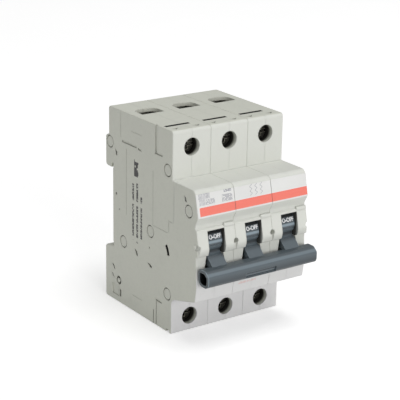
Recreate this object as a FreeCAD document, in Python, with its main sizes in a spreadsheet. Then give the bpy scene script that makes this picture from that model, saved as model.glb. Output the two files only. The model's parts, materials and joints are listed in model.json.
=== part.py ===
import FreeCAD, Part
import math
import os
import re

import Sketcher
from FreeCAD import Placement, Rotation, Vector

# Three-pole miniature circuit breaker for a 35 mm rail.
# The origin is the middle of the face that sits on the rail. X runs across the
# poles, -Y is the front with the handle, +Y the wall, +Z up. Millimetres.
# The handle is down, which is OFF. Every pole is built about its own middle,
# x = 0, and then placed one pole width from the next.

POLES = {1: -1, 2: 0, 3: 1}

SIZES = [
    # The moulded case, seen from the side
    ("pole_pitch", 17.8, "width of one pole, and the step from pole to pole"),
    ("case_top", 42.0, "rail centre to the top face"),
    ("case_bottom", 42.0, "rail centre to the bottom face"),
    ("terminal_face", 44.0, "rail to the front of the terminals"),
    ("rear_face", 3.0, "how far the back of the case reaches behind the rail"),
    ("side_wall", 1.5, "wall between the inside and the pole's side"),
    ("edge_wall", 1.6, "wall round the edge of the case"),
    ("case_round", 1.2, "rounding of the case's long edges"),
    ("seam_chamfer", 0.25, "chamfer of the case where it meets the next pole"),
    ("rail_half", 17.5, "half the height of the rail"),
    ("rail_sheet", 1.0, "thickness of the rail's flange"),
    ("rail_play", 0.3, "room round the rail's flange"),
    ("seat_relief", 0.25, "step back of the case beside its seat"),
    ("seat_margin", 1.5, "from the end of the seat to the rail's edge"),
    ("lip_overlap", 1.3, "how far the upper lip hooks over the flange"),
    ("upper_foot_depth", 5.4, "rail to the back of the upper foot"),
    ("upper_foot_top", 30.2, "rail centre to where the upper foot steps out"),
    ("upper_foot_step", 1.2, "height of the sloped step above the upper foot"),
    ("lower_foot_depth", 6.0, "rail to the back of the lower foot"),
    ("lower_foot_drop", 1.1, "fall of the lower foot's top towards the wall"),
    ("foot_round", 1.5, "rounding of the feet"),
    ("base_notch_depth", 1.0, "height of the notch in the bottom front edge"),
    ("base_notch_front", 42.6, "front of that notch"),
    ("base_notch_rear", 40.0, "back of that notch"),
    # The nose with the label, the ears and the chin
    ("nose_top", 22.4, "rail centre to the shoulder over the label"),
    ("brow_face", 57.9, "front of the shoulder"),
    ("label_top", 21.6, "top of the sloped label face"),
    ("label_top_face", 59.2, "rail to the label face at its top"),
    ("label_bottom", 11.6, "bottom of the label face"),
    ("label_bottom_face", 61.4, "rail to the label face at its bottom"),
    ("hollow_top", 8.7, "top of the hollow under the label"),
    ("hollow_bottom", 7.1, "bottom of that hollow"),
    ("hollow_face", 59.75, "rail to the hollow's floor"),
    ("ear_top", 6.6, "top of the ears beside the toggle"),
    ("ear_top_face", 60.6, "rail to the front of the ears at their top"),
    ("ear_crest", 1.2, "how far the ears' foremost point lies under the centre"),
    ("ear_crest_face", 62.4, "rail to the ears' foremost point"),
    ("ear_bottom", 4.1, "how far the ears reach under the centre"),
    ("ear_bottom_face", 61.6, "rail to the ears' lower corner"),
    ("ear_round", 1.3, "rounding of the ears' lower corner"),
    ("ear_bulge", 4.0, "rounding of the ears' front"),
    ("chin_top_inset", 0.75, "how far the chin is set back just under the ears"),
    ("chin_middle", 16.4, "where the chin is foremost, under the centre"),
    ("chin_middle_face", 61.2, "rail to the chin where it is foremost"),
    ("chin_bottom", 22.8, "bottom of the chin, under the centre"),
    ("chin_bottom_inset", 1.0, "how far the chin is set back at its bottom"),
    ("throat", 27.2, "where the chin's underside meets the terminal face"),
    ("throat_round", 3.0, "hollow rounding at the throat"),
    # The window that the toggle moves in
    ("window_play", 0.45, "from the toggle to the sides of its window"),
    ("drum_play", 0.38, "from the toggle's drum to the upper edge of its window"),
    ("window_flare_out", 1.05, "how much wider the window gets under the ears"),
    ("window_flare", 9.6, "where the window has its full width, under the centre"),
    ("window_bottom", 13.2, "bottom of the window, under the centre"),
    # Seams between the ears, and the pads on the right ears
    ("seam_hole", 2.2, "diameter of the hole in the seam between two ears"),
    ("seam_hole_depth", 3.0, "depth of that hole"),
    ("seam_valley", 0.55, "half the width of the valley that runs down from it"),
    ("seam_valley_depth", 0.9, "depth of that valley"),
    ("pad_top", 7.7, "top of the pads on the right ears"),
    ("pad_face", 60.6, "front of the pads at their top"),
    ("pad_proud", 0.25, "how far the pads stand proud of the ears"),
    # Label
    ("label_sheet", 0.2, "thickness of the label"),
    ("label_margin", 0.35, "from the label to the edges of its face"),
    # Wire entries, screw holes and bar slits
    ("wire_half", 5.2, "half the width of a wire entry"),
    ("wire_front", 16.7, "straight front edge of a wire entry"),
    ("wire_rear", 9.0, "rounded back of a wire entry"),
    ("wire_round", 3.6, "rounding of a wire entry's back"),
    ("line_screw_drop", 7.25, "top face to the upper screws"),
    ("load_screw_rise", 6.2, "bottom face to the lower screws"),
    ("driver_hole", 7.2, "screwdriver hole"),
    ("driver_ledge", 1.6, "ledge between a screw hole and its terminal room"),
    ("slit_face", 36.45, "rail to the middle of the busbar slit"),
    ("slit_gap", 1.4, "width of the busbar slit"),
    ("slit_end", 3.5, "pole's middle to the end of the slit"),
    ("dimple_face", 41.0, "rail to the dimples at the top front edge"),
    ("dimple_size", 1.7, "size of a dimple"),
    ("dimple_left", 5.7, "pole's middle to the left dimple"),
    ("dimple_right", 4.3, "pole's middle to the right dimple"),
    ("dimple_depth", 0.5, "depth of the dimples"),
    ("mark_depth", 0.4, "depth of the moulding marks on the side"),
    ("line_depth", 0.08, "depth of the faint lines on the side"),
    ("pit_depth", 1.0, "depth of the dark pits on the side"),
    # Rivets that hold the poles together
    ("rivet_shank", 3.1, "diameter of a rivet's shank"),
    ("rivet_head", 4.5, "diameter of a rivet's head"),
    ("rivet_head_thick", 0.8, "thickness of a rivet's head"),
    ("rivet_play", 0.1, "room round a rivet"),
    ("rivet_ring", 0.4, "groove round a rivet's head"),
    ("rivet_sink", 0.12, "how far a rivet's head lies under the side"),
    ("foot_rivet_inset", 3.3, "back of the upper foot to its rivet"),
    ("foot_rivet_drop", 3.2, "top of the upper foot to its rivet"),
    ("front_rivet_inset", 3.4, "terminal face to the rivet under the upper screws"),
    ("front_rivet_drop", 9.05, "upper screws to the rivet under them"),
    ("nose_rivet_inset", 6.2, "foot of the label face to the rivet behind it"),
    ("nose_rivet_rise", 4.5, "top of the hollow to the rivet in the nose"),
    ("hub_setback", 8.7, "load strap's upright to the middle rivet, which the arm turns round"),
    ("hub_drop", 3.0, "how far the middle rivet lies under the centre"),
    ("rear_rivet_depth", 8.2, "rail to the rivet over the arc chute"),
    ("rear_rivet_gap", 1.1, "from the arc horn to the boss of the rivet over it"),
    ("low_rivet_inset", 3.1, "terminal face to the rivet over the lower screws"),
    ("low_rivet_rise", 10.1, "lower screws to the rivet over them"),
    ("hub_boss", 5.0, "diameter of the bosses round the inner rivets"),
    # Inside of the case
    ("screw_room_front", 34.0, "front wall of the terminal rooms"),
    ("screw_room_rear", 4.4, "back wall of the terminal rooms"),
    ("cage_room", 1.55, "from an upper clamp to the floor of its room"),
    ("room_wall", 1.2, "wall between the terminal rooms and the works"),
    ("nose_room_top", 9.4, "top of the room in the nose"),
    ("nose_room_rear", 51.6, "where the room behind the nose gets higher"),
    ("nose_wall", 1.9, "wall of the nose, behind the hollow"),
    ("works_top", 20.8, "top of the room for the works under the shoulder"),
    ("works_front", 37.3, "front of the room over the works"),
    ("strap_port_end", 33.0, "front end of the wall over the lower strap"),
    # Terminals
    ("head_gap", 1.6, "from the ledge to a screw's head"),
    ("head_diameter", 6.8, "diameter of a screw head"),
    ("head_thick", 2.6, "thickness of a screw head"),
    ("drive_slot", 1.1, "width of the screw's drive slot"),
    ("drive_depth", 1.3, "depth of the drive slot"),
    ("thread_diameter", 4.9, "diameter of the terminal screw"),
    ("thread_play", 0.05, "room between screw and clamp thread"),
    ("tip_play", 0.15, "from the screw's tip to the strap"),
    ("clamp_play", 0.3, "from a clamp to the side walls"),
    ("clamp_side", 1.2, "thickness of the cage's sides"),
    ("clamp_height", 8.6, "height of a cage"),
    ("clamp_travel", 7.4, "room for the clamp to move forward"),
    ("clamp_nut", 3.4, "thickness of the cage's threaded wall"),
    ("clamp_mouth", 14.8, "length of the cage's inside"),
    ("clamp_jaw", 1.6, "thickness of the cage's jaw"),
    ("strap_face", 19.1, "rail to the front of the straps in the cages"),
    ("strap_sheet", 1.7, "thickness of the copper straps"),
    ("strap_margin", 0.6, "from a strap to the sides of its cage"),
    ("strap_reach", 3.9, "from screw height to the strap's end"),
    ("strap_play", 0.2, "room round the straps where they pass a wall"),
    # Toggle and handle bar
    ("pivot_inset", 4.85, "from the nose's inner wall to the handle's pivot"),
    ("handle_rest", 41.8, "angle of the levers under level, when OFF"),
    ("drum_radius", 7.4, "radius of the toggle's drum"),
    ("toggle_width", 7.0, "width of a toggle"),
    ("lever_thick", 2.9, "thickness of a toggle's lever"),
    ("lever_short", 0.97, "end of the lever to the middle of the bar"),
    ("toggle_pin", 2.4, "diameter of the toggle's pin"),
    ("pin_play", 0.05, "room round the pins"),
    ("pin_seat", 0.9, "how deep the pins sit in the side walls"),
    ("crank_radius", 4.7, "pivot to the hole for the link"),
    ("crank_angle", 34.0, "angle of that hole over level, behind the pivot"),
    ("groove_radius", 0.5, "finger grooves across the drum"),
    ("groove_first", 35.0, "angle of the first groove from the lever"),
    ("groove_second", 27.5, "angle of the second groove from the lever"),
    ("scoop_radius", 1.4, "hollow between the grooves and the lever"),
    ("scoop_angle", 17.5, "angle of that hollow from the lever"),
    ("flat_ahead", 0.8, "how far the drum's flats reach in front of the pivot"),
    ("flat_drop", 0.6, "how far those flats lie under the drum's round face"),
    ("bar_gap", 0.8, "from the chin to the bar"),
    ("bar_drop", 0.16, "how far the bar's middle lies under the levers' line"),
    ("bar_depth", 6.7, "depth of the bar"),
    ("bar_height", 6.6, "height of the bar"),
    ("bar_slope", 1.7, "height of the bar's sloped upper front"),
    ("bar_slope_depth", 2.2, "depth of that slope"),
    ("bar_round", 1.9, "rounding of the bar"),
    ("bar_trim", 0.1, "from the bar's ends to the sides of the case"),
    ("bar_wall", 1.4, "wall of the bar at its open ends"),
    ("bar_hollow", 6.0, "depth of the open ends"),
    ("lever_play", 0.1, "room round the levers in the bar"),
    ("grip_left", -3.0, "left end of the recess in the bar's front"),
    ("grip_right", 11.0, "right end of that recess"),
    ("grip_height", 1.6, "height of that recess"),
    ("grip_low", 13.3, "how far the recess reaches under the centre"),
    ("grip_depth", 0.8, "depth of that recess"),
    # Contact arm and link
    ("arm_turn", 16.58, "turn of the contact arm from OFF to ON"),
    ("arm_sheet", 2.0, "thickness of the contact arm"),
    ("arm_hub", 8.0, "diameter of the arm's hub"),
    ("arm_hub_width", 4.0, "width of the arm's hub"),
    ("hub_play", 0.06, "room between hub and boss"),
    ("link_hole_radius", 14.81, "hub to the hole for the link"),
    ("link_hole_angle", 28.04, "angle of that hole under level, when ON"),
    ("link_play", 0.3, "room round the link in the arm's slot"),
    ("link_slack", 1.0, "length that the link may slide in that slot"),
    ("arm_eye", 2.3, "half the width of the arm's branch to the link"),
    ("leg_front", 1.8, "front of the arm's leg, from the hub, when ON"),
    ("leg_rear", 4.3, "back of the leg"),
    ("horn_gap", 1.0, "from the arc plates to the horn over them"),
    ("contact_foot", 0.3, "end of the leg to the contacts"),
    ("tip_thick", 1.6, "thickness of the moving contact"),
    ("tip_height", 3.2, "height of the moving contact"),
    ("tip_half", 1.8, "half the width of the moving contact"),
    ("contact_gap", 0.1, "gap that is left at the contacts, when ON"),
    ("link_wire", 1.4, "diameter of the link's wire"),
    ("link_side_play", 0.2, "from the toggle's side to the link's web"),
    ("link_far", 3.0, "how far the link's ends reach past the middle"),
    # Fixed contact, horn and arc chute
    ("fixed_sheet", 1.2, "thickness of the fixed contact's strip"),
    ("fixed_half", 3.0, "half the width of that strip"),
    ("fixed_tip", 1.2, "thickness of the fixed contact"),
    ("horn_rear", 7.6, "rail to the end of the horn over the chute"),
    ("chute_setback", 0.3, "how far the chute starts behind the fixed contact"),
    ("plate_sheet", 1.0, "thickness of an arc plate"),
    ("chute_end", 4.4, "rail to the back of the last arc plate"),
    ("plate_count", 9, "number of arc plates in a chute"),
    ("chute_play", 0.4, "from the chute's sheets to the side walls"),
    ("plate_height", 8.2, "height of an arc plate"),
    ("plate_notch", 3.6, "depth of the notch in an arc plate"),
    ("plate_notch_half", 2.2, "half the width of that notch"),
    ("chute_floor_gap", 0.3, "from the plates to the floor of the room"),
    ("chute_sheet", 0.8, "thickness of the chute's side sheets"),
    ("runner_sheet", 1.0, "thickness of the lower arc runner"),
    ("runner_rear", 22.6, "rail to the back of the lower arc runner"),
    ("runner_front", 33.4, "rail to the front of its foot"),
    ("runner_gap", 2.5, "from the end of the arm's leg down to the lower runner"),
    # Magnetic release
    ("coil_height", 13.0, "rail centre up to the coil's axis"),
    ("coil_radius", 6.2, "outer radius of the coil"),
    ("coil_lead", 2.3, "how far the coil starts in front of the fixed contact's strip"),
    ("coil_length", 13.2, "length of the coil"),
    ("coil_turns", 6, "number of turns of the coil"),
    ("coil_groove", 0.9, "depth between the coil's turns"),
    ("joint_gap", 0.05, "gap at the welded joints of coil and straps"),
    ("bobbin_bore", 2.35, "radius of the bobbin's bore"),
    ("bobbin_wall", 0.8, "wall of the bobbin"),
    ("bobbin_flange", 1.0, "thickness of the bobbin's flanges"),
    ("flange_radius", 5.9, "radius of the bobbin's flanges"),
    ("yoke_sheet", 1.5, "thickness of the yoke"),
    ("yoke_half", 5.0, "half the width of the yoke"),
    ("yoke_rise", 6.4, "coil axis to the top of the yoke"),
    ("yoke_gap", 0.5, "from the coil to the yoke's web"),
    ("core_length", 5.4, "length of the fixed core"),
    ("core_play", 0.1, "room round core and plunger"),
    ("striker_radius", 0.9, "radius of the plunger's striker"),
    ("striker_gap", 2.3, "from the striker's tip to the trip lever"),
    ("plunger_gap", 2.8, "from the fixed core to the plunger"),
    # Trip lever
    ("trip_ahead", 5.8, "how far the trip lever's pivot lies in front of the arm's"),
    ("trip_below", 6.9, "how far that pivot lies under the arm's"),
    ("trip_pin", 1.6, "diameter of the trip lever's pin"),
    ("cheek_sheet", 1.4, "thickness of the trip lever's cheeks"),
    ("cheek_play", 0.3, "from the cheeks to the side walls"),
    ("trip_hub", 2.3, "radius of the trip lever round its pivot"),
    ("tie_radius", 7.3, "pivot to the rod that ties the trip levers"),
    ("tie_angle", 35.0, "angle of that rod over level, at rest"),
    ("tie_rod", 1.0, "diameter of that rod"),
    ("tie_slot", 1.6, "width of the slots for that rod"),
    ("tie_slot_low", 6.0, "angle of the slot's lower end over level"),
    ("tie_slot_high", 40.0, "angle of the slot's upper end over level"),
    ("tie_eye", 1.5, "radius of the trip lever round the rod"),
    ("bridge_gap", 3.9, "from the yoke to the bridge that the striker hits"),
    ("bridge_sheet", 1.2, "thickness of the trip lever's bridges"),
    ("upper_bridge_half", 1.6, "half the height of the upper bridge"),
    ("lower_bridge_gap", 0.45, "from the bimetal to the lower bridge"),
    ("lower_bridge_top", 12.2, "top of the lower bridge, under the centre"),
    ("lower_bridge_height", 2.4, "height of the lower bridge"),
    # Thermal release
    ("upright_gap", 2.15, "from the lower rivet to the load strap's upright"),
    ("load_strap_sheet", 1.6, "thickness of the load strap"),
    ("strap_rise", 0.75, "how far the upright reaches over the adjusting screw"),
    ("clamp_gap", 0.6, "from the load strap's run to the clamp under it"),
    ("bend_round", 1.0, "bends of the straps"),
    ("bimetal_sheet", 0.9, "thickness of the bimetal"),
    ("bimetal_half", 3.0, "half the width of the bimetal"),
    ("bimetal_top", 12.0, "top of the bimetal, under the centre"),
    ("bimetal_lift", 1.9, "from the load strap's run to the foot of the bimetal"),
    ("adjuster_rise", 0.55, "from the lower rivet to the adjusting screw's head"),
    ("adjuster_diameter", 2.5, "diameter of the adjusting screw"),
    ("adjuster_head", 4.0, "diameter of its head"),
    ("adjuster_head_thick", 1.2, "thickness of its head"),
    ("adjuster_gap", 0.1, "from its tip to the strap"),
    ("braid_radius", 0.9, "radius of the braid"),
    ("braid_play", 0.3, "from the arm's hub to the braid"),
    ("braid_drop", 4.0, "top of the bimetal to the braid"),
    # Springs
    ("spring_wire", 0.6, "diameter of the torsion springs' wire"),
    ("toggle_spring_radius", 2.9, "radius of the toggle spring's coil"),
    ("arm_spring_radius", 3.3, "radius of the arm spring's coil"),
    ("spring_turns", 3, "turns of the torsion springs"),
    ("toggle_spring_play", 0.8, "from the toggle to its spring"),
    ("arm_spring_play", 0.4, "from the arm's hub to its spring"),
    ("spring_leg", 5.5, "length of the springs' legs"),
    # Rail clip
    ("clip_half", 5.5, "half the width of a rail clip"),
    ("clip_sheet", 3.0, "thickness of a rail clip"),
    ("clip_play", 0.2, "room round a rail clip"),
    ("clip_hook", 1.0, "how far a clip hooks over the rail's edge"),
    ("clip_travel", 3.5, "how far a clip pulls down"),
    ("clip_foot_gap", 0.4, "from a clip's foot to the bottom of the case"),
    ("clip_window_top", 24.0, "top of the clip's spring window"),
    ("clip_window_low", 35.0, "bottom of the clip's spring window"),
    ("clip_window_half", 3.2, "half the width of that window"),
    ("clip_spring", 0.8, "thickness of the clip's moulded spring"),
    ("pull_slot_half", 2.6, "half the width of the clip's pull slot"),
    ("pull_slot_gap", 1.6, "height of the pull slot"),
    ("pull_slot_low", 40.0, "bottom of the pull slot, under the centre"),
]

# Sizes and places that follow from those above
DERIVED = {
    "line_screw_height": "case_top - line_screw_drop",
    "load_screw_depth": "case_bottom - load_screw_rise",
    "upper_room_floor": "line_screw_height - clamp_height / 2 - cage_room",
    "load_run_top": "load_screw_depth - clamp_height / 2 - clamp_gap - load_strap_sheet",
    "lower_room_roof": "load_run_top - strap_play",
    "works_floor": "lower_room_roof - room_wall",
    "driver_hole_floor": "screw_room_front + driver_ledge",
    "head_face": "driver_hole_floor + head_gap + head_thick",
    "clamp_half": "pole_pitch / 2 - side_wall - clamp_play",
    "clamp_front": "screw_room_front - clamp_travel",
    "strap_half": "clamp_half - clamp_side - strap_margin",
    "foot_rivet_y": "upper_foot_depth - foot_rivet_inset",
    "foot_rivet_z": "upper_foot_top - foot_rivet_drop",
    "front_rivet_y": "front_rivet_inset - terminal_face",
    "front_rivet_z": "line_screw_height - front_rivet_drop",
    "nose_rivet_y": "nose_rivet_inset - label_bottom_face",
    "nose_rivet_z": "hollow_top + nose_rivet_rise",
    "low_rivet_y": "low_rivet_inset - terminal_face",
    "low_rivet_z": "low_rivet_rise - load_screw_depth",
    "hub_y": "hub_setback - upright_face",
    "hub_z": "-hub_drop",
    "rear_rivet_y": "-rear_rivet_depth",
    "rear_rivet_z": "horn_bottom + fixed_sheet + hub_boss / 2 + rear_rivet_gap",
    "adjuster_depth": "-low_rivet_z - rivet_shank / 2 - adjuster_head / 2 - adjuster_rise",
    "low_block_top": "adjuster_depth - adjuster_head / 2 - room_wall",
    "upright_face": "-low_rivet_y - rivet_shank / 2 - upright_gap",
    "load_strap_top": "adjuster_depth - adjuster_diameter / 2 - strap_rise",
    "bimetal_foot": "load_run_top - bimetal_lift",
    "braid_side": "arm_hub_width / 2 + braid_radius + braid_play",
    "chin_top_face": "chin_middle_face - chin_top_inset",
    "chin_bottom_face": "chin_middle_face - chin_bottom_inset",
    "pivot_face": "hollow_face - nose_wall - pivot_inset",
    "window_half": "toggle_width / 2 + window_play",
    "window_flare_half": "window_half + window_flare_out",
    "window_top": "sqrt(drum_radius ^ 2 - (pivot_inset - drum_play) ^ 2)",
    "bar_y": "-chin_middle_face - bar_gap - bar_depth / 2",
    "bar_z": "(bar_y + pivot_face) * tan(handle_rest) - bar_drop",
    "lever_reach": "-(bar_y + pivot_face) / cos(handle_rest) - lever_short",
    "toggle_spring_side": "toggle_width / 2 + toggle_spring_play",
    "link_web": "toggle_width / 2 + link_wire / 2 + link_side_play",
    "arm_spring_side": "arm_hub_width / 2 + arm_spring_play",
    "chute_foot": "chute_floor_gap - works_floor",
    "horn_bottom": "chute_foot + plate_height + horn_gap",
    "leg_length": "hub_z - horn_bottom - fixed_sheet / 2",
    "runner_top": "leg_length - hub_z + runner_gap",
    "fixed_front": "hub_y + leg_rear + tip_thick + contact_gap + fixed_tip",
    "chute_front": "-fixed_front - chute_setback",
    "plate_half": "pole_pitch / 2 - side_wall - chute_sheet - chute_play",
    "plate_step": "(chute_front - chute_end - plate_sheet) / (plate_count - 1)",
    "coil_front": "coil_lead - fixed_front",
    "coil_rear": "coil_front - coil_length",
    "yoke_web": "coil_height - coil_radius - yoke_gap - yoke_sheet",
    "upper_bridge_face": "coil_front + bobbin_flange + yoke_sheet + bridge_gap",
    "striker_face": "upper_bridge_face - striker_gap",
    "plunger_front": "coil_front + bobbin_flange - core_length - plunger_gap",
    "plunger_rear": "coil_rear - bobbin_flange + core_play",
    "trip_pivot_y": "hub_y - trip_ahead",
    "trip_pivot_z": "hub_z - trip_below",
}

NAMES = {name for name, value, meaning in SIZES}

doc = FreeCAD.newDocument("circuit_breaker")
sheet = doc.addObject("Spreadsheet::Sheet", "Sizes")
for row, (name, value, meaning) in enumerate(SIZES, start=1):
    sheet.set(f"A{row}", meaning)
    sheet.set(f"B{row}", str(value))
    sheet.setAlias(f"B{row}", name)
doc.recompute()


def bound(expression):
    """The expression, with each size in it pointed at its cell in the sheet."""

    def cell(word):
        name = word[0]
        if name in DERIVED:
            return f"({bound(DERIVED[name])})"
        return "Sizes." + name if name in NAMES else name

    return re.sub(r"[a-z_]+", cell, str(expression))


def number(expression):
    """What the expression comes to now."""
    return float(sheet.evalExpression(bound(expression)))


def has_size(expression):
    """Whether the expression depends on the sheet."""
    return "Sizes." in bound(expression)


def unit(vector):
    return vector.multiply(1 / vector.Length)


class Drawing:
    """Outlines and circles in one sketch, each place and radius tied to the sheet."""

    def __init__(self, sketch):
        self.sketch = sketch
        self.lines = []
        self.rules = []
        self.ties = {}

    def put(self, geometry):
        self.lines.append(geometry)
        return len(self.lines) - 1

    def rule(self, *words):
        self.rules.append(Sketcher.Constraint(*words))
        return len(self.rules) - 1

    def size(self, expression, *words):
        """A dimension that follows the expression."""
        place = self.rule(*words, number(expression))
        if has_size(expression):
            self.ties[place] = expression

    def pin(self, across, up, piece, end):
        self.size(across, "DistanceX", -1, 1, piece, end)
        self.size(up, "DistanceY", -1, 1, piece, end)

    def circle(self, across, up, radius):
        centre = Vector(number(across), number(up), 0)
        ring = self.put(Part.Circle(centre, Vector(0, 0, 1), number(radius)))
        self.pin(across, up, ring, 3)
        self.size(radius, "Radius", ring)

    def outline(self, corners):
        """A closed outline. A third entry rounds its corner by that radius."""
        corners = [(*corner, 0) if len(corner) == 2 else corner for corner in corners]
        places = [Vector(number(across), number(up), 0) for across, up, _ in corners]
        count = len(corners)
        enters, leaves, arcs = [], [], {}
        for here, (_, _, rounding) in enumerate(corners):
            radius = number(rounding)
            if not radius:
                enters.append(places[here])
                leaves.append(places[here])
                continue
            before = unit(places[here - 1] - places[here])
            after = unit(places[(here + 1) % count] - places[here])
            half = before.getAngle(after) / 2
            reach = radius / math.tan(half)
            enters.append(places[here] + before * reach)
            leaves.append(places[here] + after * reach)
            middle = places[here] + unit(before + after) * (radius / math.sin(half))
            arcs[here] = (middle, radius, before.cross(after).z < 0)
        edges = [
            self.put(Part.LineSegment(leaves[here], enters[(here + 1) % count]))
            for here in range(count)
        ]
        for here, (across, up, rounding) in enumerate(corners):
            incoming, outgoing = edges[here - 1], edges[here]
            if here not in arcs:
                self.rule("Coincident", incoming, 2, outgoing, 1)
                self.pin(across, up, outgoing, 1)
                continue
            middle, radius, turns_left = arcs[here]
            angles = [
                math.atan2(*reversed(tuple(point - middle)[:2]))
                for point in (enters[here], leaves[here])
            ]
            first, last = angles if turns_left else reversed(angles)
            last += 2 * math.pi if last < first else 0
            ring = Part.Circle(middle, Vector(0, 0, 1), radius)
            arc = self.put(Part.ArcOfCircle(ring, first, last))
            start, end = (1, 2) if turns_left else (2, 1)
            self.rule("Tangent", incoming, 2, arc, start)
            self.rule("Tangent", arc, end, outgoing, 1)
            self.size(rounding, "Radius", arc)
            corner = self.put(Part.Point(places[here]))
            self.pin(across, up, corner, 1)
            self.rule("PointOnObject", corner, 1, incoming)
            self.rule("PointOnObject", corner, 1, outgoing)

    def finish(self):
        self.sketch.addGeometry(self.lines, False)
        for place, geometry in enumerate(self.lines):
            if isinstance(geometry, Part.Point):
                self.sketch.setConstruction(place, True)
        self.sketch.addConstraint(self.rules)
        for place, expression in self.ties.items():
            self.sketch.setExpression(f"Constraints[{place}]", bound(expression))


class Piece:
    """One piece of the breaker, built in a body of its own."""

    # Which way each plane looks: the sign of its normal along the third axis
    PLANES = {"YZ": 1, "XZ": -1, "XY": 1}

    def __init__(self, label, original=None):
        self.body = doc.addObject("PartDesign::Body", label)
        self.body.Label = label
        if original:
            twin = self.body.newObject("PartDesign::FeatureBase", "Twin")
            twin.BaseFeature = original.body
            self.body.Tip = twin

    def origin(self, role):
        features = self.body.Origin.OriginFeatures
        return next(feature for feature in features if feature.Role == role)

    def sketch(self, plane, offset, shapes):
        """A sketch on one of the body's own planes, moved along its normal."""
        sketch = self.body.newObject("Sketcher::SketchObject", "Sketch")
        sketch.AttachmentSupport = (self.origin(plane + "_Plane"), [""])
        sketch.MapMode = "FlatFace"
        sign = "" if self.PLANES[plane] > 0 else "-"
        sketch.setExpression("AttachmentOffset.Base.z", bound(f"{sign}({offset})"))
        drawing = Drawing(sketch)
        for shape in shapes:
            if isinstance(shape, list):
                drawing.outline(shape)
            else:
                drawing.circle(*shape)
        drawing.finish()
        return sketch

    def feature(self, kind, sketch, low, high):
        feature = self.body.newObject("PartDesign::" + kind, kind)
        feature.Profile = sketch
        feature.setExpression("Length", bound(f"({high}) - ({low})"))
        feature.Refine = False
        sketch.Visibility = False
        return feature

    def add(self, plane, low, high, shapes):
        """Fill the shapes from low to high along the axis square to the plane."""
        start = low if self.PLANES[plane] > 0 else high
        return self.feature("Pad", self.sketch(plane, start, shapes), low, high)

    def cut(self, plane, low, high, shapes):
        """Cut the shapes away from low to high along that axis."""
        start = high if self.PLANES[plane] > 0 else low
        return self.feature("Pocket", self.sketch(plane, start, shapes), low, high)

    def chamfer_side(self, feature, side, size):
        """Chamfer the edges of the feature's face that looks towards -X or +X."""
        doc.recompute()
        places = [face.CenterOfMass.x * side for face in feature.Shape.Faces]
        outermost = places.index(max(places)) + 1
        chamfer = self.body.newObject("PartDesign::Chamfer", "Chamfer")
        chamfer.Base = (feature, [f"Face{outermost}"])
        chamfer.setExpression("Size", bound(size))
        chamfer.Refine = False
        return chamfer

    def turn(self, corners, kind="Revolution"):
        """Turn an outline of (y, radius) round the body's own Y axis."""
        sketch = self.sketch("YZ", "0", [corners])
        feature = self.body.newObject("PartDesign::" + kind, kind)
        feature.Profile = sketch
        feature.ReferenceAxis = (self.origin("Y_Axis"), [""])
        feature.Angle = 360
        sketch.Visibility = False
        return feature

    def repeat(self, axis, length, count, originals=None):
        """Repeat the whole piece, or some of its features, in a row."""
        pattern = self.body.newObject("PartDesign::LinearPattern", "Row")
        if originals:
            pattern.Originals = originals
        else:
            doc.recompute()
            pattern.TransformMode = "Whole shape"
        pattern.Direction = (self.origin(axis + "_Axis"), [""])
        pattern.setExpression("Length", bound(length))
        pattern.setExpression("Occurrences", bound(count))
        self.body.Tip = pattern
        return pattern

    def repeat_in_poles(self, z="0"):
        """One of these in every pole, as separate solids of one piece."""
        self.repeat("X", f"{len(POLES) - 1} * pole_pitch", str(len(POLES)))
        return self.place(x="-pole_pitch", z=z)

    def place(self, x="0", y="0", z="0", turn=None):
        """Merge the faces left by the features, and put the piece where it belongs."""
        if hasattr(self.body.Tip, "Refine"):
            self.body.Tip.Refine = True
        for axis, expression in (("x", x), ("y", y), ("z", z)):
            self.body.setExpression("Placement.Base." + axis, bound(expression))
        if turn:
            self.body.Placement = Placement(Vector(), Rotation(Vector(1, 0, 0), number(turn)))
            self.body.setExpression("Placement.Rotation.Angle", bound(turn))
        return self

    def place_in_pole(self, pole, y="0", z="0", turn=None):
        return self.place(f"{POLES[pole]} * pole_pitch", y, z, turn)


def box(low_across, low_up, high_across, high_up, rounding=0):
    """The four corners of an upright rectangle."""
    return [
        (low_across, low_up, rounding),
        (high_across, low_up, rounding),
        (high_across, high_up, rounding),
        (low_across, high_up, rounding),
    ]


def strip(half, low, high, rounding=0):
    """A rectangle that lies evenly on both sides of the middle."""
    return box(f"-({half})", low, half, high, rounding)


def polar(centre_y, centre_z, radius, angle):
    """The point at this angle over level, in front of a centre."""
    return (
        f"{centre_y} - ({radius}) * cos({angle})",
        f"{centre_z} + ({radius}) * sin({angle})",
    )


RIVETS = [
    (place + "_y", place + "_z")
    for place in ("foot_rivet", "front_rivet", "nose_rivet", "hub", "rear_rivet", "low_rivet")
]
BOSSES = [("hub_y", "hub_z"), ("rear_rivet_y", "rear_rivet_z")]

# The label face leans back towards its top
LABEL_LEAN = "(label_bottom_face - label_top_face) / (label_top - label_bottom)"


def label_face(height):
    """Where the label face lies at this height."""
    return f"-label_bottom_face + (({height}) - label_bottom) * {LABEL_LEAN}"


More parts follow.
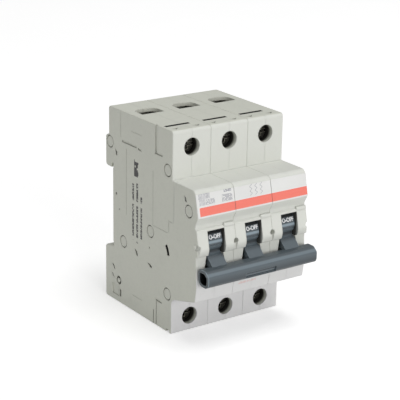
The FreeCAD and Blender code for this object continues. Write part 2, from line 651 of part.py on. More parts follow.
CASE_OUTLINE = [
    ("-terminal_face", "case_top", "case_round"),
    ("rear_face", "case_top", "case_round"),
    ("rear_face", "upper_foot_top"),
    ("upper_foot_depth", "upper_foot_top - upper_foot_step", "case_round / 2"),
    ("upper_foot_depth", "rail_half - lip_overlap", "foot_round"),
    ("rail_sheet + rail_play", "rail_half - lip_overlap"),
    ("rail_sheet + rail_play", "rail_half + 2 * rail_play"),
    ("-seat_relief", "rail_half + 2 * rail_play"),
    ("-seat_relief", "rail_half - seat_margin"),
    ("0", "rail_half - seat_margin"),
    ("0", "seat_margin - rail_half"),
    ("-seat_relief", "seat_margin - rail_half"),
    ("-seat_relief", "-rail_half - rail_play"),
    ("lower_foot_depth", "-rail_half - rail_play - lower_foot_drop", "foot_round"),
    ("lower_foot_depth", "-case_bottom", "case_round"),
    ("-base_notch_rear", "-case_bottom"),
    ("-base_notch_rear", "base_notch_depth - case_bottom"),
    ("-base_notch_front", "base_notch_depth - case_bottom"),
    ("-base_notch_front", "-case_bottom"),
    ("-terminal_face", "-case_bottom", "base_notch_depth / 2"),
    ("-terminal_face", "-throat", "throat_round"),
    ("-chin_bottom_face", "-chin_bottom", "case_round"),
    ("-chin_middle_face", "-chin_middle"),
    ("-chin_top_face", "-ear_bottom"),
    ("-ear_bottom_face", "-ear_bottom", "ear_round"),
    ("-ear_crest_face", "-ear_crest", "ear_bulge"),
    ("-ear_top_face", "ear_top", "ear_round / 2"),
    ("-hollow_face", "hollow_bottom"),
    ("-hollow_face", "hollow_top", "ear_round"),
    ("-label_bottom_face", "label_bottom", "case_round / 4"),
    ("-label_top_face", "label_top", "case_round"),
    ("-brow_face", "nose_top"),
    ("-terminal_face", "nose_top"),
]

UNDERSIDE_LEAN = "(throat - chin_bottom) / (chin_bottom_face - terminal_face)"

ROOM_OUTLINE = [
    ("-screw_room_front", "upper_room_floor"),
    ("-screw_room_front", "case_top - edge_wall"),
    ("-screw_room_rear", "case_top - edge_wall"),
    ("-screw_room_rear", "upper_room_floor"),
    ("strap_sheet - strap_face + strap_play", "upper_room_floor"),
    ("strap_sheet - strap_face + strap_play", "upper_room_floor - room_wall"),
    ("-seat_relief - edge_wall", "upper_room_floor - room_wall"),
    ("-seat_relief - edge_wall", "-works_floor"),
    ("-strap_port_end", "-works_floor"),
    ("-strap_port_end", "-lower_room_roof"),
    ("-screw_room_rear", "-lower_room_roof"),
    ("-screw_room_rear", "edge_wall - case_bottom"),
    ("-screw_room_front", "edge_wall - case_bottom"),
    ("-screw_room_front", "-load_run_top - load_strap_sheet - strap_play"),
    ("-upright_face - strap_play", "-load_run_top - load_strap_sheet - strap_play"),
    ("-upright_face - strap_play", "-low_block_top"),
    ("-terminal_face", "-low_block_top"),
    ("-terminal_face", "edge_wall - throat"),
    (
        "nose_wall - hollow_face",
        f"edge_wall - throat + (hollow_face - nose_wall - terminal_face) * {UNDERSIDE_LEAN}",
    ),
    ("nose_wall - hollow_face", "nose_room_top"),
    ("-nose_room_rear", "nose_room_top"),
    ("-nose_room_rear", "works_top"),
    ("-works_front", "works_top"),
    ("-works_front", "upper_room_floor - room_wall"),
    ("-strap_face - strap_play", "upper_room_floor - room_wall"),
    ("-strap_face - strap_play", "upper_room_floor"),
]


def tie_slot():
    """The curved slot that the tie rod moves in, as one outline of short runs."""
    steps = 6
    span = "(tie_slot_high - tie_slot_low)"
    angles = [f"tie_slot_low + {step} / {steps} * {span}" for step in range(steps + 1)]
    pivot = ("trip_pivot_y", "trip_pivot_z")
    outer = [polar(*pivot, "tie_radius + tie_slot / 2", angle) for angle in angles]
    inner = [polar(*pivot, "tie_radius - tie_slot / 2", angle) for angle in angles]
    return outer + inner[::-1]


# What the moulding tool leaves on the side of the end pole, as places (y, z)
SIDE_LINES = [
    box("-6.5", "31", "-6.1", "42.5"),
    box("-10.8", "-1", "-10.4", "27"),
    box("-22.1", "35", "-14.5", "35.5"),
    box("-22.7", "-35.1", "-15.3", "-34.7"),
    box("-30.6", "0.9", "-30.2", "22.9"),
    box("-41.1", "0.1", "-30.2", "0.5"),
    box("-41.9", "0.7", "-41.5", "5.6"),
    box("-44.8", "5.2", "-42.1", "5.6"),
    box("-45.4", "5.8", "-45", "20.5"),
]
SIDE_MARKS = [
    box("-18.2", "29", "-7.3", "29.8"),
    box("-36.9", "30.2", "-31.6", "30.9"),
    box("-33", "31.1", "-31.6", "42.5"),
    box("-37.1", "-31.2", "-32.9", "-30.5"),
    box("-33.4", "-42.5", "-32.9", "-31.4"),
    box("-31.4", "-42.5", "-30.8", "-35.8"),
    box("-4.7", "-39.3", "0.6", "-34.6"),
    [("-21.9", "28.5"), ("-19.2", "28.7"), ("-19.2", "29.4"), ("-21.5", "29.3")],
]
SIDE_PITS = [
    ("-2.7", "5.8", "0.55"),
    ("-5.1", "-0.3", "0.3"),
    ("-27.9", "-10.1", "0.35"),
    ("-4.5", "-32.1", "1.85"),
    ("-4.5", "-32.1", "1"),
    box("-6.3", "-39.1", "-5.1", "-35.8"),
    [("-1.8", "25.2"), ("-3.5", "23.8"), ("-3.3", "22"), ("-2.4", "22.6")],
    [("-51.9", "18.9"), ("-53.2", "18.2"), ("-53.9", "16.4"), ("-52.6", "16.7")],
    [("-16.7", "-13.8"), ("-18.6", "-14.6"), ("-19.4", "-16.6"), ("-18", "-16.3")],
    [("-26.5", "-16.9"), ("-28.2", "-16.9"), ("-29.9", "-17.7"), ("-29.6", "-18.4"), ("-28", "-18.2")],
    [("1", "-25.8"), ("-0.6", "-26.2"), ("-1.7", "-28.2"), ("-0.8", "-27.9")],
    [("1.2", "-30.1"), ("0.2", "-30.4"), ("-1", "-32.1"), ("0.2", "-31.6")],
]


def side_marks(piece, outer):
    """Faint lines, shallow marks and dark pits on the side of the end pole."""
    piece.cut("YZ", outer, f"({outer}) + line_depth", SIDE_LINES)
    piece.cut("YZ", outer, f"({outer}) + mark_depth", SIDE_MARKS)
    piece.cut("YZ", outer, f"({outer}) + pit_depth", SIDE_PITS)


def case_half(label, left, right, floor, side):
    """One moulded half of a pole's case. Side is -1 for the left half, 1 for the right."""
    piece = Piece(label)
    block = piece.add("YZ", left, right, [CASE_OUTLINE])
    piece.chamfer_side(block, side, "seam_chamfer")
    if side > 0:
        # The right ear has a flat pad that fills the hollow over it
        pad = [
            ("-hollow_face + nose_wall / 2", "pad_top"),
            ("-pad_face", "pad_top"),
            ("-ear_top_face - pad_proud", "ear_top - pad_proud"),
            ("-hollow_face + nose_wall / 2", "ear_top - pad_proud"),
        ]
        piece.add("YZ", "window_half", f"({right}) - seam_chamfer", [pad])
    bosses = [(*place, "hub_boss / 2") for place in BOSSES]
    room = (floor, right) if side < 0 else (left, floor)
    piece.cut("YZ", *room, [ROOM_OUTLINE] + bosses)
    holes = [(*place, "rivet_shank / 2 + rivet_play") for place in RIVETS]
    piece.cut("YZ", left, right, holes)
    # The slot for the tie rod, through the side wall
    wall = (left, floor) if side < 0 else (floor, right)
    piece.cut("YZ", *wall, [tie_slot()])
    # Blind seats for the pins of the toggle and the trip lever
    seat = f"({floor}) + {side} * pin_seat"
    pins = [
        ("-pivot_face", "0", "toggle_pin / 2"),
        ("trip_pivot_y", "trip_pivot_z", "trip_pin / 2"),
    ]
    piece.cut("YZ", *((seat, floor) if side < 0 else (floor, seat)), pins)
    # Screwdriver holes, and the narrower holes for the screws behind them
    heights = ("line_screw_height", "-load_screw_depth")
    drivers = [("0", height, "driver_hole / 2") for height in heights]
    piece.cut("XZ", "-terminal_face", "-driver_hole_floor", drivers)
    shanks = [("0", height, "thread_diameter / 2 + strap_play * 2") for height in heights]
    piece.cut("XZ", "-driver_hole_floor", "-screw_room_front", shanks)
    adjuster = ("0", "-adjuster_depth", "adjuster_diameter / 2 + rivet_play")
    piece.cut("XZ", "-terminal_face", "-upright_face - strap_play", [adjuster])
    # Wire entries with a straight front and an arched back
    entry = [
        ("-wire_half", "-wire_front"),
        ("wire_half", "-wire_front"),
        ("wire_half", "-wire_rear", "wire_round"),
        ("-wire_half", "-wire_rear", "wire_round"),
    ]
    piece.cut("XY", "case_top - edge_wall", "case_top", [entry])
    piece.cut("XY", "-case_bottom", "edge_wall - case_bottom", [entry])
    # Window of the toggle, wider under the ears
    window = [
        ("-window_half", "window_top"),
        ("-window_half", "-ear_bottom"),
        ("-window_flare_half", "-window_flare"),
        ("-window_flare_half", "-window_bottom"),
        ("window_flare_half", "-window_bottom"),
        ("window_flare_half", "-window_flare"),
        ("window_half", "-ear_bottom"),
        ("window_half", "window_top"),
    ]
    clear_front = "-ear_crest_face - chin_middle_face"
    piece.cut("XZ", clear_front, "nose_wall - hollow_face", [window])
    # Channel of the rail clip
    channel = strip(
        "clip_half + clip_play",
        "rail_sheet + rail_play - clip_play",
        "rail_sheet + rail_play + clip_sheet + clip_play",
    )
    piece.cut("XY", "-case_bottom", "-rail_half", [channel])
    # Busbar slit, from the left side wall to beyond the seam, and the dimple before it
    ends = (floor, "0") if side < 0 else ("0", "slit_end")
    slit = box(ends[0], "-slit_face - slit_gap / 2", ends[1], "slit_gap / 2 - slit_face")
    piece.cut("XY", "line_screw_height", "case_top", [slit])
    piece.cut("XY", "-case_bottom", "-load_screw_depth", [slit])
    spot = "-dimple_left" if side < 0 else "dimple_right"
    dimple = [
        (f"{spot} - dimple_size", "dimple_size / 2 - dimple_face"),
        (f"{spot} + dimple_size", "dimple_size / 2 - dimple_face"),
        (spot, "-dimple_face - dimple_size / 2"),
    ]
    piece.cut("XY", "case_top - dimple_depth", "case_top", [dimple])
    # Half of the hole in the seam between two ears, and of the valley under it
    edge = left if side < 0 else right
    crest = "-ear_crest_face - seam_chamfer"
    piece.cut("XZ", crest, "seam_hole_depth - ear_crest_face", [(edge, "0", "seam_hole / 2")])
    valley = box(f"({edge}) - seam_valley", "-ear_bottom", f"({edge}) + seam_valley", "0")
    piece.cut("XZ", crest, "seam_valley_depth - ear_crest_face", [valley])
    return piece.place()


def cases():
    """Both halves of the middle pole, and their twins in the poles beside it."""
    half = "pole_pitch / 2"
    left = case_half("case_left_2", f"-{half}", "0", f"side_wall - {half}", -1)
    right = case_half("case_right_2", "0", half, f"{half} - side_wall", 1)
    doc.recompute()
    sink = "rivet_head_thick + rivet_sink"
    heads = [(*place, "rivet_head / 2 + rivet_ring") for place in RIVETS]
    for pole in (1, 3):
        left_twin = Piece(f"case_left_{pole}", left)
        right_twin = Piece(f"case_right_{pole}", right)
        if pole == 1:
            left_twin.cut("YZ", f"-{half}", f"{sink} - {half}", heads)
            side_marks(left_twin, f"-{half}")
        else:
            right_twin.cut("YZ", f"{half} - ({sink})", half, heads)
        left_twin.place_in_pole(pole)
        right_twin.place_in_pole(pole)


def labels():
    """Thin label on the sloped face of each pole."""
    low = "label_bottom + label_margin"
    high = "label_top - 2 * label_margin"
    piece = Piece("front_labels")
    face = [
        (label_face(low), low),
        (label_face(high), high),
        (label_face(high) + " - label_sheet", high),
        (label_face(low) + " - label_sheet", low),
    ]
    half = "pole_pitch / 2 - label_margin / 3"
    piece.add("YZ", f"-({half})", half, [face])
    piece.repeat_in_poles()


def rivets():
    """Plastic rivets through all the poles, with a flat head at each end."""
    piece = Piece("case_rivets")
    half = f"{len(POLES)} * pole_pitch / 2 - rivet_sink"
    shanks = [(*place, "rivet_shank / 2") for place in RIVETS]
    heads = [(*place, "rivet_head / 2") for place in RIVETS]
    piece.add("YZ", f"-({half})", half, shanks)
    piece.add("YZ", f"-({half})", f"rivet_head_thick - ({half})", heads)
    piece.add("YZ", f"({half}) - rivet_head_thick", half, heads)
    piece.place()


def toggle(pole):
    """Toggle in its own frame: the pivot at the origin, the lever towards -Y."""
    piece = Piece(f"toggle_{pole}")
    half = "toggle_width / 2"
    piece.add("YZ", f"-{half}", half, [("0", "0", "drum_radius")])
    lever = box("-lever_reach", "-lever_thick / 2", "0", "lever_thick / 2", "0.4")
    piece.add("YZ", f"-{half}", half, [lever])
    grooves = [
        (*polar("0", "0", "drum_radius", f"{sign}{angle}"), radius)
        for sign in ("", "-")
        for angle, radius in (("groove_first", "groove_radius"), ("groove_second", "groove_radius"))
    ]
    piece.cut("YZ", f"-{half}", half, grooves)
    scoops = [
        (*polar("0", "0", "drum_radius + scoop_radius / 3", sign + "scoop_angle"), "scoop_radius")
        for sign in ("", "-")
    ]
    piece.cut("YZ", f"-{half}", half, scoops)
    # A flat at each end of the lettered face
    flats = [
        box("-flat_ahead", "drum_radius - flat_drop", "drum_radius", "drum_radius"),
        box("-flat_ahead", "-drum_radius", "drum_radius", "flat_drop - drum_radius"),
    ]
    piece.cut("YZ", f"-{half}", half, flats)
    crank = (
        "crank_radius * cos(crank_angle - handle_rest)",
        "crank_radius * sin(crank_angle - handle_rest)",
    )
    holes = [
        ("0", "0", "toggle_pin / 2 + pin_play"),
        (*crank, "link_wire / 2 + pin_play"),
    ]
    piece.cut("YZ", f"-{half}", half, holes)
    return piece.place_in_pole(pole, "-pivot_face", turn="handle_rest")


def lever_point(along, over):
    """A point in the OFF position, given along the lever and over it."""
    return (
        f"-pivot_face - ({along}) * cos(handle_rest) - ({over}) * sin(handle_rest)",
        f"({over}) * cos(handle_rest) - ({along}) * sin(handle_rest)",
    )


def handle_bar():
    """The bar that ties the toggles, with sockets for their levers."""
    piece = Piece("handle_bar")
    half = f"{len(POLES)} * pole_pitch / 2 - bar_trim"
    front, rear = "bar_y - bar_depth / 2", "bar_y + bar_depth / 2"
    low, high = "bar_z - bar_height / 2", "bar_z + bar_height / 2"
    section = [
        (front, low, "bar_round"),
        (rear, low, "bar_round"),
        (rear, high, "bar_round / 2"),
        (f"{front} + bar_slope_depth", high, "bar_round / 2"),
        (front, f"{high} - bar_slope", "bar_round / 2"),
    ]
    piece.add("YZ", f"-({half})", half, [section])
    inside = [
        (f"{front} + bar_wall", f"{low} + bar_wall", "bar_round / 3"),
        (f"{rear} - bar_wall", f"{low} + bar_wall", "bar_round / 3"),
        (f"{rear} - bar_wall", f"{high} - bar_wall", "bar_round / 3"),
        (f"{front} + bar_wall + bar_slope_depth / 2", f"{high} - bar_wall", "bar_round / 3"),
        (f"{front} + bar_wall", f"{high} - bar_wall - bar_slope / 2", "bar_round / 3"),
    ]
    piece.cut("YZ", f"-({half})", f"bar_hollow - ({half})", [inside])
    piece.cut("YZ", f"({half}) - bar_hollow", half, [inside])
    over = "lever_thick / 2 + lever_play"
    socket = [
        lever_point("lever_reach - bar_depth * 1.5", f"-({over})"),
        lever_point("lever_reach + lever_play", f"-({over})"),
        lever_point("lever_reach + lever_play", over),
        lever_point("lever_reach - bar_depth * 1.5", over),
    ]
    wide = "toggle_width / 2 + lever_play"
    for place in POLES.values():
        middle = f"{place} * pole_pitch"
        piece.cut("YZ", f"{middle} - ({wide})", f"{middle} + {wide}", [socket])
    grip = box("grip_left", "-grip_low", "grip_right", "grip_height - grip_low", "0.3")
    piece.cut("XZ", front, f"{front} + grip_depth", [grip])
    piece.place()


def toggle_pins():
    piece = Piece("toggle_pins")
    half = "pole_pitch / 2 - side_wall + pin_seat"
    piece.add("YZ", f"-({half})", half, [("-pivot_face", "0", "toggle_pin / 2")])
    piece.repeat_in_poles()


def trip_pins():
    piece = Piece("trip_pins")
    half = "pole_pitch / 2 - side_wall + pin_seat"
    piece.add("YZ", f"-({half})", half, [("trip_pivot_y", "trip_pivot_z", "trip_pin / 2")])
    piece.repeat_in_poles()


def arm_point(along, over):
    """A point of the arm when ON, along its branch from the hub and over it."""
    return (
        f"-({along}) * cos(link_hole_angle) - ({over}) * sin(link_hole_angle)",
        f"({over}) * cos(link_hole_angle) - ({along}) * sin(link_hole_angle)",
    )


def contact_arm(pole):
    """Contact arm in its own frame: the hub at the origin, drawn as it stands when ON."""
    piece = Piece(f"contact_arm_{pole}")
    half, hub_half = "arm_sheet / 2", "arm_hub_width / 2"
    plate = [
        ("arm_hub / 4", "arm_hub / 4"),
        ("leg_rear", "-arm_hub / 2"),
        ("leg_rear", "-leg_length"),
        ("leg_front", "-leg_length", "arm_sheet / 4"),
        ("leg_front", "-arm_hub", "arm_hub / 2"),
        (*arm_point("arm_hub / 2", "-arm_eye"), "arm_hub / 4"),
        (*arm_point("link_hole_radius + arm_eye", "-arm_eye"), "arm_eye * 0.9"),
        (*arm_point("link_hole_radius + arm_eye", "arm_eye"), "arm_eye * 0.9"),
        arm_point("0", "arm_eye"),
    ]
    piece.add("YZ", f"-{half}", half, [plate])
    piece.add("YZ", f"-{hub_half}", hub_half, [("0", "0", "arm_hub / 2")])
    piece.cut("YZ", f"-{hub_half}", hub_half, [("0", "0", "hub_boss / 2 + hub_play")])
    eye_y, eye_z = arm_point("link_hole_radius", "link_play / 3")
    gap = "(link_wire / 2 + link_play)"
    slot = box(
        f"{eye_y} - {gap}", f"{eye_z} - {gap}",
        f"{eye_y} + link_slack + {gap}", f"{eye_z} + {gap}", f"{gap} * 0.9",
    )
    piece.cut("YZ", f"-{half}", half, [slot])
    foot = "contact_foot - leg_length"
    tip = box("leg_rear", foot, "leg_rear + tip_thick", f"{foot} + tip_height")
    piece.add("YZ", "-tip_half", "tip_half", [tip])
    return piece.place_in_pole(pole, "hub_y", "hub_z", "-arm_turn")


def crank_place():
    """Where the link hangs in the toggle when OFF."""
    return (
        "-pivot_face + crank_radius * cos(crank_angle)",
        "crank_radius * sin(crank_angle)",
    )


def eye_place():
    """Where the link hangs in the contact arm when OFF."""
    return (
        "hub_y - link_hole_radius * cos(link_hole_angle - arm_turn)",
        "hub_z - link_hole_radius * sin(link_hole_angle - arm_turn)",
    )


def link(pole):
    """Wire link in its own frame: hooked in the toggle at the origin, its web along Y."""
    piece = Piece(f"trip_link_{pole}")
    (near_y, near_z), (far_y, far_z) = crank_place(), eye_place()
    rise, run = f"(({far_z}) - ({near_z}))", f"(({far_y}) - ({near_y}))"
    length = f"sqrt({rise} * {rise} + {run} * {run})"
    radius = "link_wire / 2"
    ends = [("0", "0", radius), (length, "0", radius)]
    piece.add("YZ", "-link_far", "link_web", ends)
    web = box(f"-{radius}", f"-{radius}", f"{length} + {radius}", radius, f"{radius} * 0.9")
    piece.add("YZ", f"link_web - {radius}", f"link_web + {radius}", [web])
    slope = math.degrees(math.atan2(number(rise), number(run)))
    return piece.place_in_pole(pole, near_y, near_z, str(slope))


def trip_lever(pole):
    """Trip lever: two cheeks beside the works, joined by two bridges."""
    piece = Piece(f"trip_lever_{pole}")
    outer = "(pole_pitch / 2 - side_wall - cheek_play)"
    inner = f"({outer} - cheek_sheet)"
    bridge_y = "-upper_bridge_face"
    top = "coil_height + upper_bridge_half"
    low_y = "-upright_face + load_strap_sheet + bimetal_sheet + lower_bridge_gap"
    low_z = "-lower_bridge_top"
    tie = polar("trip_pivot_y", "trip_pivot_z", "tie_radius", "tie_angle")
    arm = [
        (f"{bridge_y} - bridge_sheet", "coil_height - upper_bridge_half * 3"),
        (f"{bridge_y} - bridge_sheet", top),
        (bridge_y, top),
        (bridge_y, "coil_height - upper_bridge_half * 2"),
        ("trip_pivot_y + trip_hub", "hub_z + hub_boss"),
        ("trip_pivot_y + trip_hub", "trip_pivot_z", "trip_hub"),
        (f"{low_y} + bridge_sheet", f"{low_z} - lower_bridge_height"),
        (low_y, f"{low_z} - lower_bridge_height"),
        ("trip_pivot_y - trip_hub", "trip_pivot_z - 1", "1"),
        (f"{tie[0]} - tie_eye", f"{tie[1]} - tie_eye", "1"),
        (f"{tie[0]} - tie_eye", f"{tie[1]} + tie_eye", "1"),
        (f"{tie[0]} + tie_eye", f"{tie[1]} + tie_eye", "1"),
    ]
    piece.add("YZ", f"-{outer}", outer, [arm])
    # The room between the cheeks, which leaves only the two bridges
    middle = [
        ("-pivot_face", f"{low_z} - lower_bridge_height * 2"),
        ("-pivot_face", "coil_height - upper_bridge_half"),
        ("-coil_rear", "coil_height - upper_bridge_half"),
        ("-coil_rear", low_z),
        (low_y, low_z),
        (low_y, f"{low_z} - lower_bridge_height * 2"),
    ]
    piece.cut("YZ", f"-{inner}", inner, [middle])
    pin = ("trip_pivot_y", "trip_pivot_z", "trip_pin / 2 + pin_play")
    rod = (*tie, "tie_rod / 2 + pin_play")
    piece.cut("YZ", f"-{outer}", outer, [pin, rod])
    return piece.place_in_pole(pole)


def tie_rods():
    """Short rods from pole to pole, so that the trip levers move together."""
    piece = Piece("tie_rods")
    tie = polar("trip_pivot_y", "trip_pivot_z", "tie_radius", "tie_angle")
    half = "side_wall + cheek_play + cheek_sheet"
    piece.add("YZ", f"-({half})", half, [(*tie, "tie_rod / 2")])
    piece.repeat("X", "pole_pitch", str(len(POLES) - 1))
    piece.place(x="-pole_pitch / 2")


def plunger(pole):
    """Plunger of the magnetic release, with the striker in front."""
    piece = Piece(f"plunger_{pole}")
    body = "bobbin_bore - core_play"
    piece.turn([
        ("-striker_face", "0"),
        ("-striker_face", "striker_radius"),
        ("-plunger_front", "striker_radius"),
        ("-plunger_front", body),
        ("-plunger_rear", body),
        ("-plunger_rear", "0"),
    ])
    return piece.place_in_pole(pole, z="coil_height")


def magnet_cores():
    piece = Piece("magnet_cores")
    hole, outside = "striker_radius + core_play", "bobbin_bore - core_play / 2"
    front = "-coil_front - bobbin_flange"
    piece.turn([
        (front, hole),
        (front, outside),
        (f"{front} + core_length", outside),
        (f"{front} + core_length", hole),
    ])
    piece.repeat_in_poles("coil_height")


def bobbins():
    piece = Piece("coil_bobbins")
    tube = "bobbin_bore + bobbin_wall"
    front, rear = "-coil_front", "-coil_rear"
    piece.turn([
        (f"{front} - bobbin_flange", "bobbin_bore"),
        (f"{front} - bobbin_flange", "flange_radius"),
        (front, "flange_radius"),
        (front, tube),
        (rear, tube),
        (rear, "flange_radius"),
        (f"{rear} + bobbin_flange", "flange_radius"),
        (f"{rear} + bobbin_flange", "bobbin_bore"),
    ])
    piece.repeat_in_poles("coil_height")


def coils():
    """Heavy coil: its outside waves once for each turn of the wire."""
    piece = Piece("trip_coils")
    inside = "bobbin_bore + bobbin_wall"
    count = int(number("coil_turns"))
    pitch = "((coil_front - coil_rear) / coil_turns)"
    waves = []
    for turn in range(count):
        start = f"-coil_front + {turn} * {pitch}"
        waves.append((start, "coil_radius - coil_groove"))
        waves.append((f"{start} + {pitch} * 0.3", "coil_radius"))
        waves.append((f"{start} + {pitch} * 0.7", "coil_radius"))
    waves.append(("-coil_rear", "coil_radius - coil_groove"))
    piece.turn([("-coil_front", inside), *waves, ("-coil_rear", inside)])
    piece.repeat_in_poles("coil_height")


def yokes():
    """Bent steel yoke, open at the top, with a slot for the fixed contact's strip."""
    piece = Piece("magnet_yokes")
    front, rear = "-coil_front - bobbin_flange", "-coil_rear + bobbin_flange"
    web = "yoke_web"
    top = "coil_height + yoke_rise"
    piece.add("YZ", "-yoke_half", "yoke_half", [[
        (f"{front} - yoke_sheet", web, "bend_round"),
        (f"{rear} + yoke_sheet", web, "bend_round"),
        (f"{rear} + yoke_sheet", top),
        (rear, top),
        (rear, f"{web} + yoke_sheet"),
        (front, f"{web} + yoke_sheet"),
        (front, top),
        (f"{front} - yoke_sheet", top),
    ]])
    hole = [("0", "coil_height", "bobbin_bore")]
    piece.cut("XZ", f"{front} - yoke_sheet", front, hole)
    slot = strip("fixed_half + strap_play", "fixed_front - strap_play",
                 "fixed_front + fixed_sheet + strap_play")
    piece.cut("XY", web, f"{web} + yoke_sheet", [slot])
    piece.repeat_in_poles()


def fixed_strips():
    """Strip from the coil down to the fixed contact, and back over the chute as a horn."""
    piece = Piece("fixed_contact_strips")
    top = "coil_height - coil_radius - joint_gap"
    piece.add("YZ", "-fixed_half", "fixed_half", [[
        ("fixed_front", "horn_bottom", "bend_round"),
        ("-horn_rear", "horn_bottom"),
        ("-horn_rear", "horn_bottom + fixed_sheet"),
        ("fixed_front + fixed_sheet", "horn_bottom + fixed_sheet"),
        ("fixed_front + fixed_sheet", top),
        ("fixed_front", top),
    ]])
    piece.repeat_in_poles()


def fixed_contacts():
    piece = Piece("fixed_contacts")
    low = "hub_z + contact_foot - leg_length"
    contact = box("fixed_front - fixed_tip", low, "fixed_front", f"{low} + tip_height")
    piece.add("YZ", "-tip_half", "tip_half", [contact])
    piece.repeat_in_poles()


def arc_plates():
    """Stack of notched steel plates in each pole."""
    piece = Piece("arc_plates")
    high = "chute_foot + plate_height"
    plate = [
        ("-plate_half", "chute_foot"),
        ("plate_half", "chute_foot"),
        ("plate_half", high),
        ("plate_notch_half", high),
        ("0", f"{high} - plate_notch"),
        ("-plate_notch_half", high),
        ("-plate_half", high),
    ]
    piece.add("XZ", "-chute_front", "plate_sheet - chute_front", [plate])
    piece.repeat("Y", "plate_step * (plate_count - 1)", "plate_count")
    piece.repeat_in_poles()


def chute_sides():
    """Two fibre sheets that hold the arc plates of each pole."""
    piece = Piece("arc_chute_sides")
    side = box("-chute_front", "chute_foot", "-chute_end", "chute_foot + plate_height")
    piece.add("YZ", "plate_half", "plate_half + chute_sheet", [side])
    piece.add("YZ", "-plate_half - chute_sheet", "-plate_half", [side])
    piece.repeat_in_poles()


def arc_runners():
    """Lower arc runner, in front of the chute."""
    piece = Piece("arc_runners")
    piece.add("YZ", "-fixed_half", "fixed_half", [[
        ("-runner_front", "chute_foot"),
        ("-runner_rear", "chute_foot", "bend_round"),
        ("-runner_rear", "-runner_top"),
        ("-runner_rear - runner_sheet", "-runner_top"),
        ("-runner_rear - runner_sheet", "chute_foot + runner_sheet"),
        ("-runner_front", "chute_foot + runner_sheet"),
    ]])
    piece.repeat_in_poles()


def line_straps():
    """Copper strap from the upper clamp down to the coil."""
    piece = Piece("line_straps")
    side = box(
        "-strap_face", "coil_height + coil_radius + joint_gap",
        "strap_sheet - strap_face", "line_screw_height + strap_reach",
    )
    piece.add("YZ", "-strap_half", "strap_half", [side])
    piece.repeat_in_poles()


def load_straps():
    """Copper strap from the lower clamp to the bimetal, bent twice."""
    piece = Piece("load_straps")
    rear = "strap_sheet - strap_face"
    end = "-load_screw_depth - strap_reach"
    top, sheet_ = "-load_run_top", "load_strap_sheet"
    piece.add("YZ", "-strap_half", "strap_half", [[
        (rear, end),
        (rear, top, "bend_round * 2"),
        (f"-upright_face + {sheet_}", top, "bend_round / 2"),
        (f"-upright_face + {sheet_}", "-load_strap_top"),
        ("-upright_face", "-load_strap_top"),
        ("-upright_face", f"{top} - {sheet_}", "bend_round"),
        ("-strap_face", f"{top} - {sheet_}", "bend_round / 2"),
        ("-strap_face", end),
    ]])
    piece.repeat_in_poles()


def bimetals():
    piece = Piece("bimetals")
    front = "load_strap_sheet - upright_face"
    side = box(front, "-bimetal_foot", f"{front} + bimetal_sheet", "-bimetal_top")
    piece.add("YZ", "-bimetal_half", "bimetal_half", [side])
    piece.repeat_in_poles()


def adjusters():
    """Screw that sets the bimetal's release point."""
    piece = Piece("adjusting_screws")
    shank, head = "adjuster_diameter / 2", "adjuster_head / 2"
    piece.turn([
        ("-terminal_face - adjuster_head_thick", "0"),
        ("-terminal_face - adjuster_head_thick", head),
        ("-terminal_face", head),
        ("-terminal_face", shank),
        ("-upright_face - adjuster_gap", shank),
        ("-upright_face - adjuster_gap", "0"),
    ])
    piece.repeat_in_poles("-adjuster_depth")


def braids():
    """Flexible copper braid from the bimetal to the contact arm's hub."""
    piece = Piece("copper_braids")
    start_y = "load_strap_sheet - upright_face + bimetal_sheet + braid_radius"
    high = "-bimetal_top - braid_drop"
    low = f"{high} - 2 * braid_radius"
    end = "hub_z - hub_boss / 2 - braid_play"
    side = [
        (start_y, low),
        ("hub_y + braid_radius", low, "3 * braid_radius"),
        ("hub_y + braid_radius", end),
        ("hub_y - braid_radius", end),
        ("hub_y - braid_radius", high, "braid_radius"),
        (start_y, high),
    ]
    piece.add("YZ", "braid_side - braid_radius", "braid_side + braid_radius", [side])
    piece.repeat_in_poles()


def torsion_springs(label, centre_y, centre_z, radius, side, leg):
    """Coil round a pin, with one straight leg."""
    piece = Piece(label)
    inner, outer = f"{radius}", f"{radius} + spring_wire"
    left, right = f"-{side} - spring_wire * spring_turns", f"-{side}"
    piece.add("YZ", left, right, [
        (centre_y, centre_z, outer),
        (centre_y, centre_z, inner),
    ])
    piece.add("YZ", f"{right} - spring_wire", right, [leg])
    piece.repeat_in_poles()


def springs():
    top = "toggle_spring_radius + spring_wire"
    torsion_springs(
        "toggle_springs", "-pivot_face", "0", "toggle_spring_radius", "toggle_spring_side",
        box("-pivot_face", f"{top} - spring_wire", "-pivot_face + spring_leg", top),
    )
    foot = "hub_z - arm_spring_radius"
    torsion_springs(
        "arm_springs", "hub_y", "hub_z", "arm_spring_radius", "arm_spring_side",
        box("hub_y", f"{foot} - spring_wire", "hub_y + spring_leg", foot),
    )


def terminal_screw(pole, end, height):
    """Terminal screw along its own Y axis, with a crossed drive."""
    piece = Piece(f"{end}_screw_{pole}")
    head, shank = "head_diameter / 2", "thread_diameter / 2"
    piece.turn([
        ("-head_face", "0"),
        ("-head_face", head, "0.4"),
        ("head_thick - head_face", head),
        ("head_thick - head_face", shank),
        ("-strap_face - tip_play", shank, "0.6"),
        ("-strap_face - tip_play", "0"),
    ])
    wide, narrow = "head_diameter / 2", "drive_slot / 2"
    piece.cut("XZ", "-head_face", "drive_depth - head_face", [strip(wide, f"-{narrow}", narrow)])
    cross = strip(narrow, "-head_diameter * 0.3", "head_diameter * 0.3")
    piece.cut("XZ", "-head_face", "drive_depth - head_face", [cross])
    return piece.place_in_pole(pole, z=height)


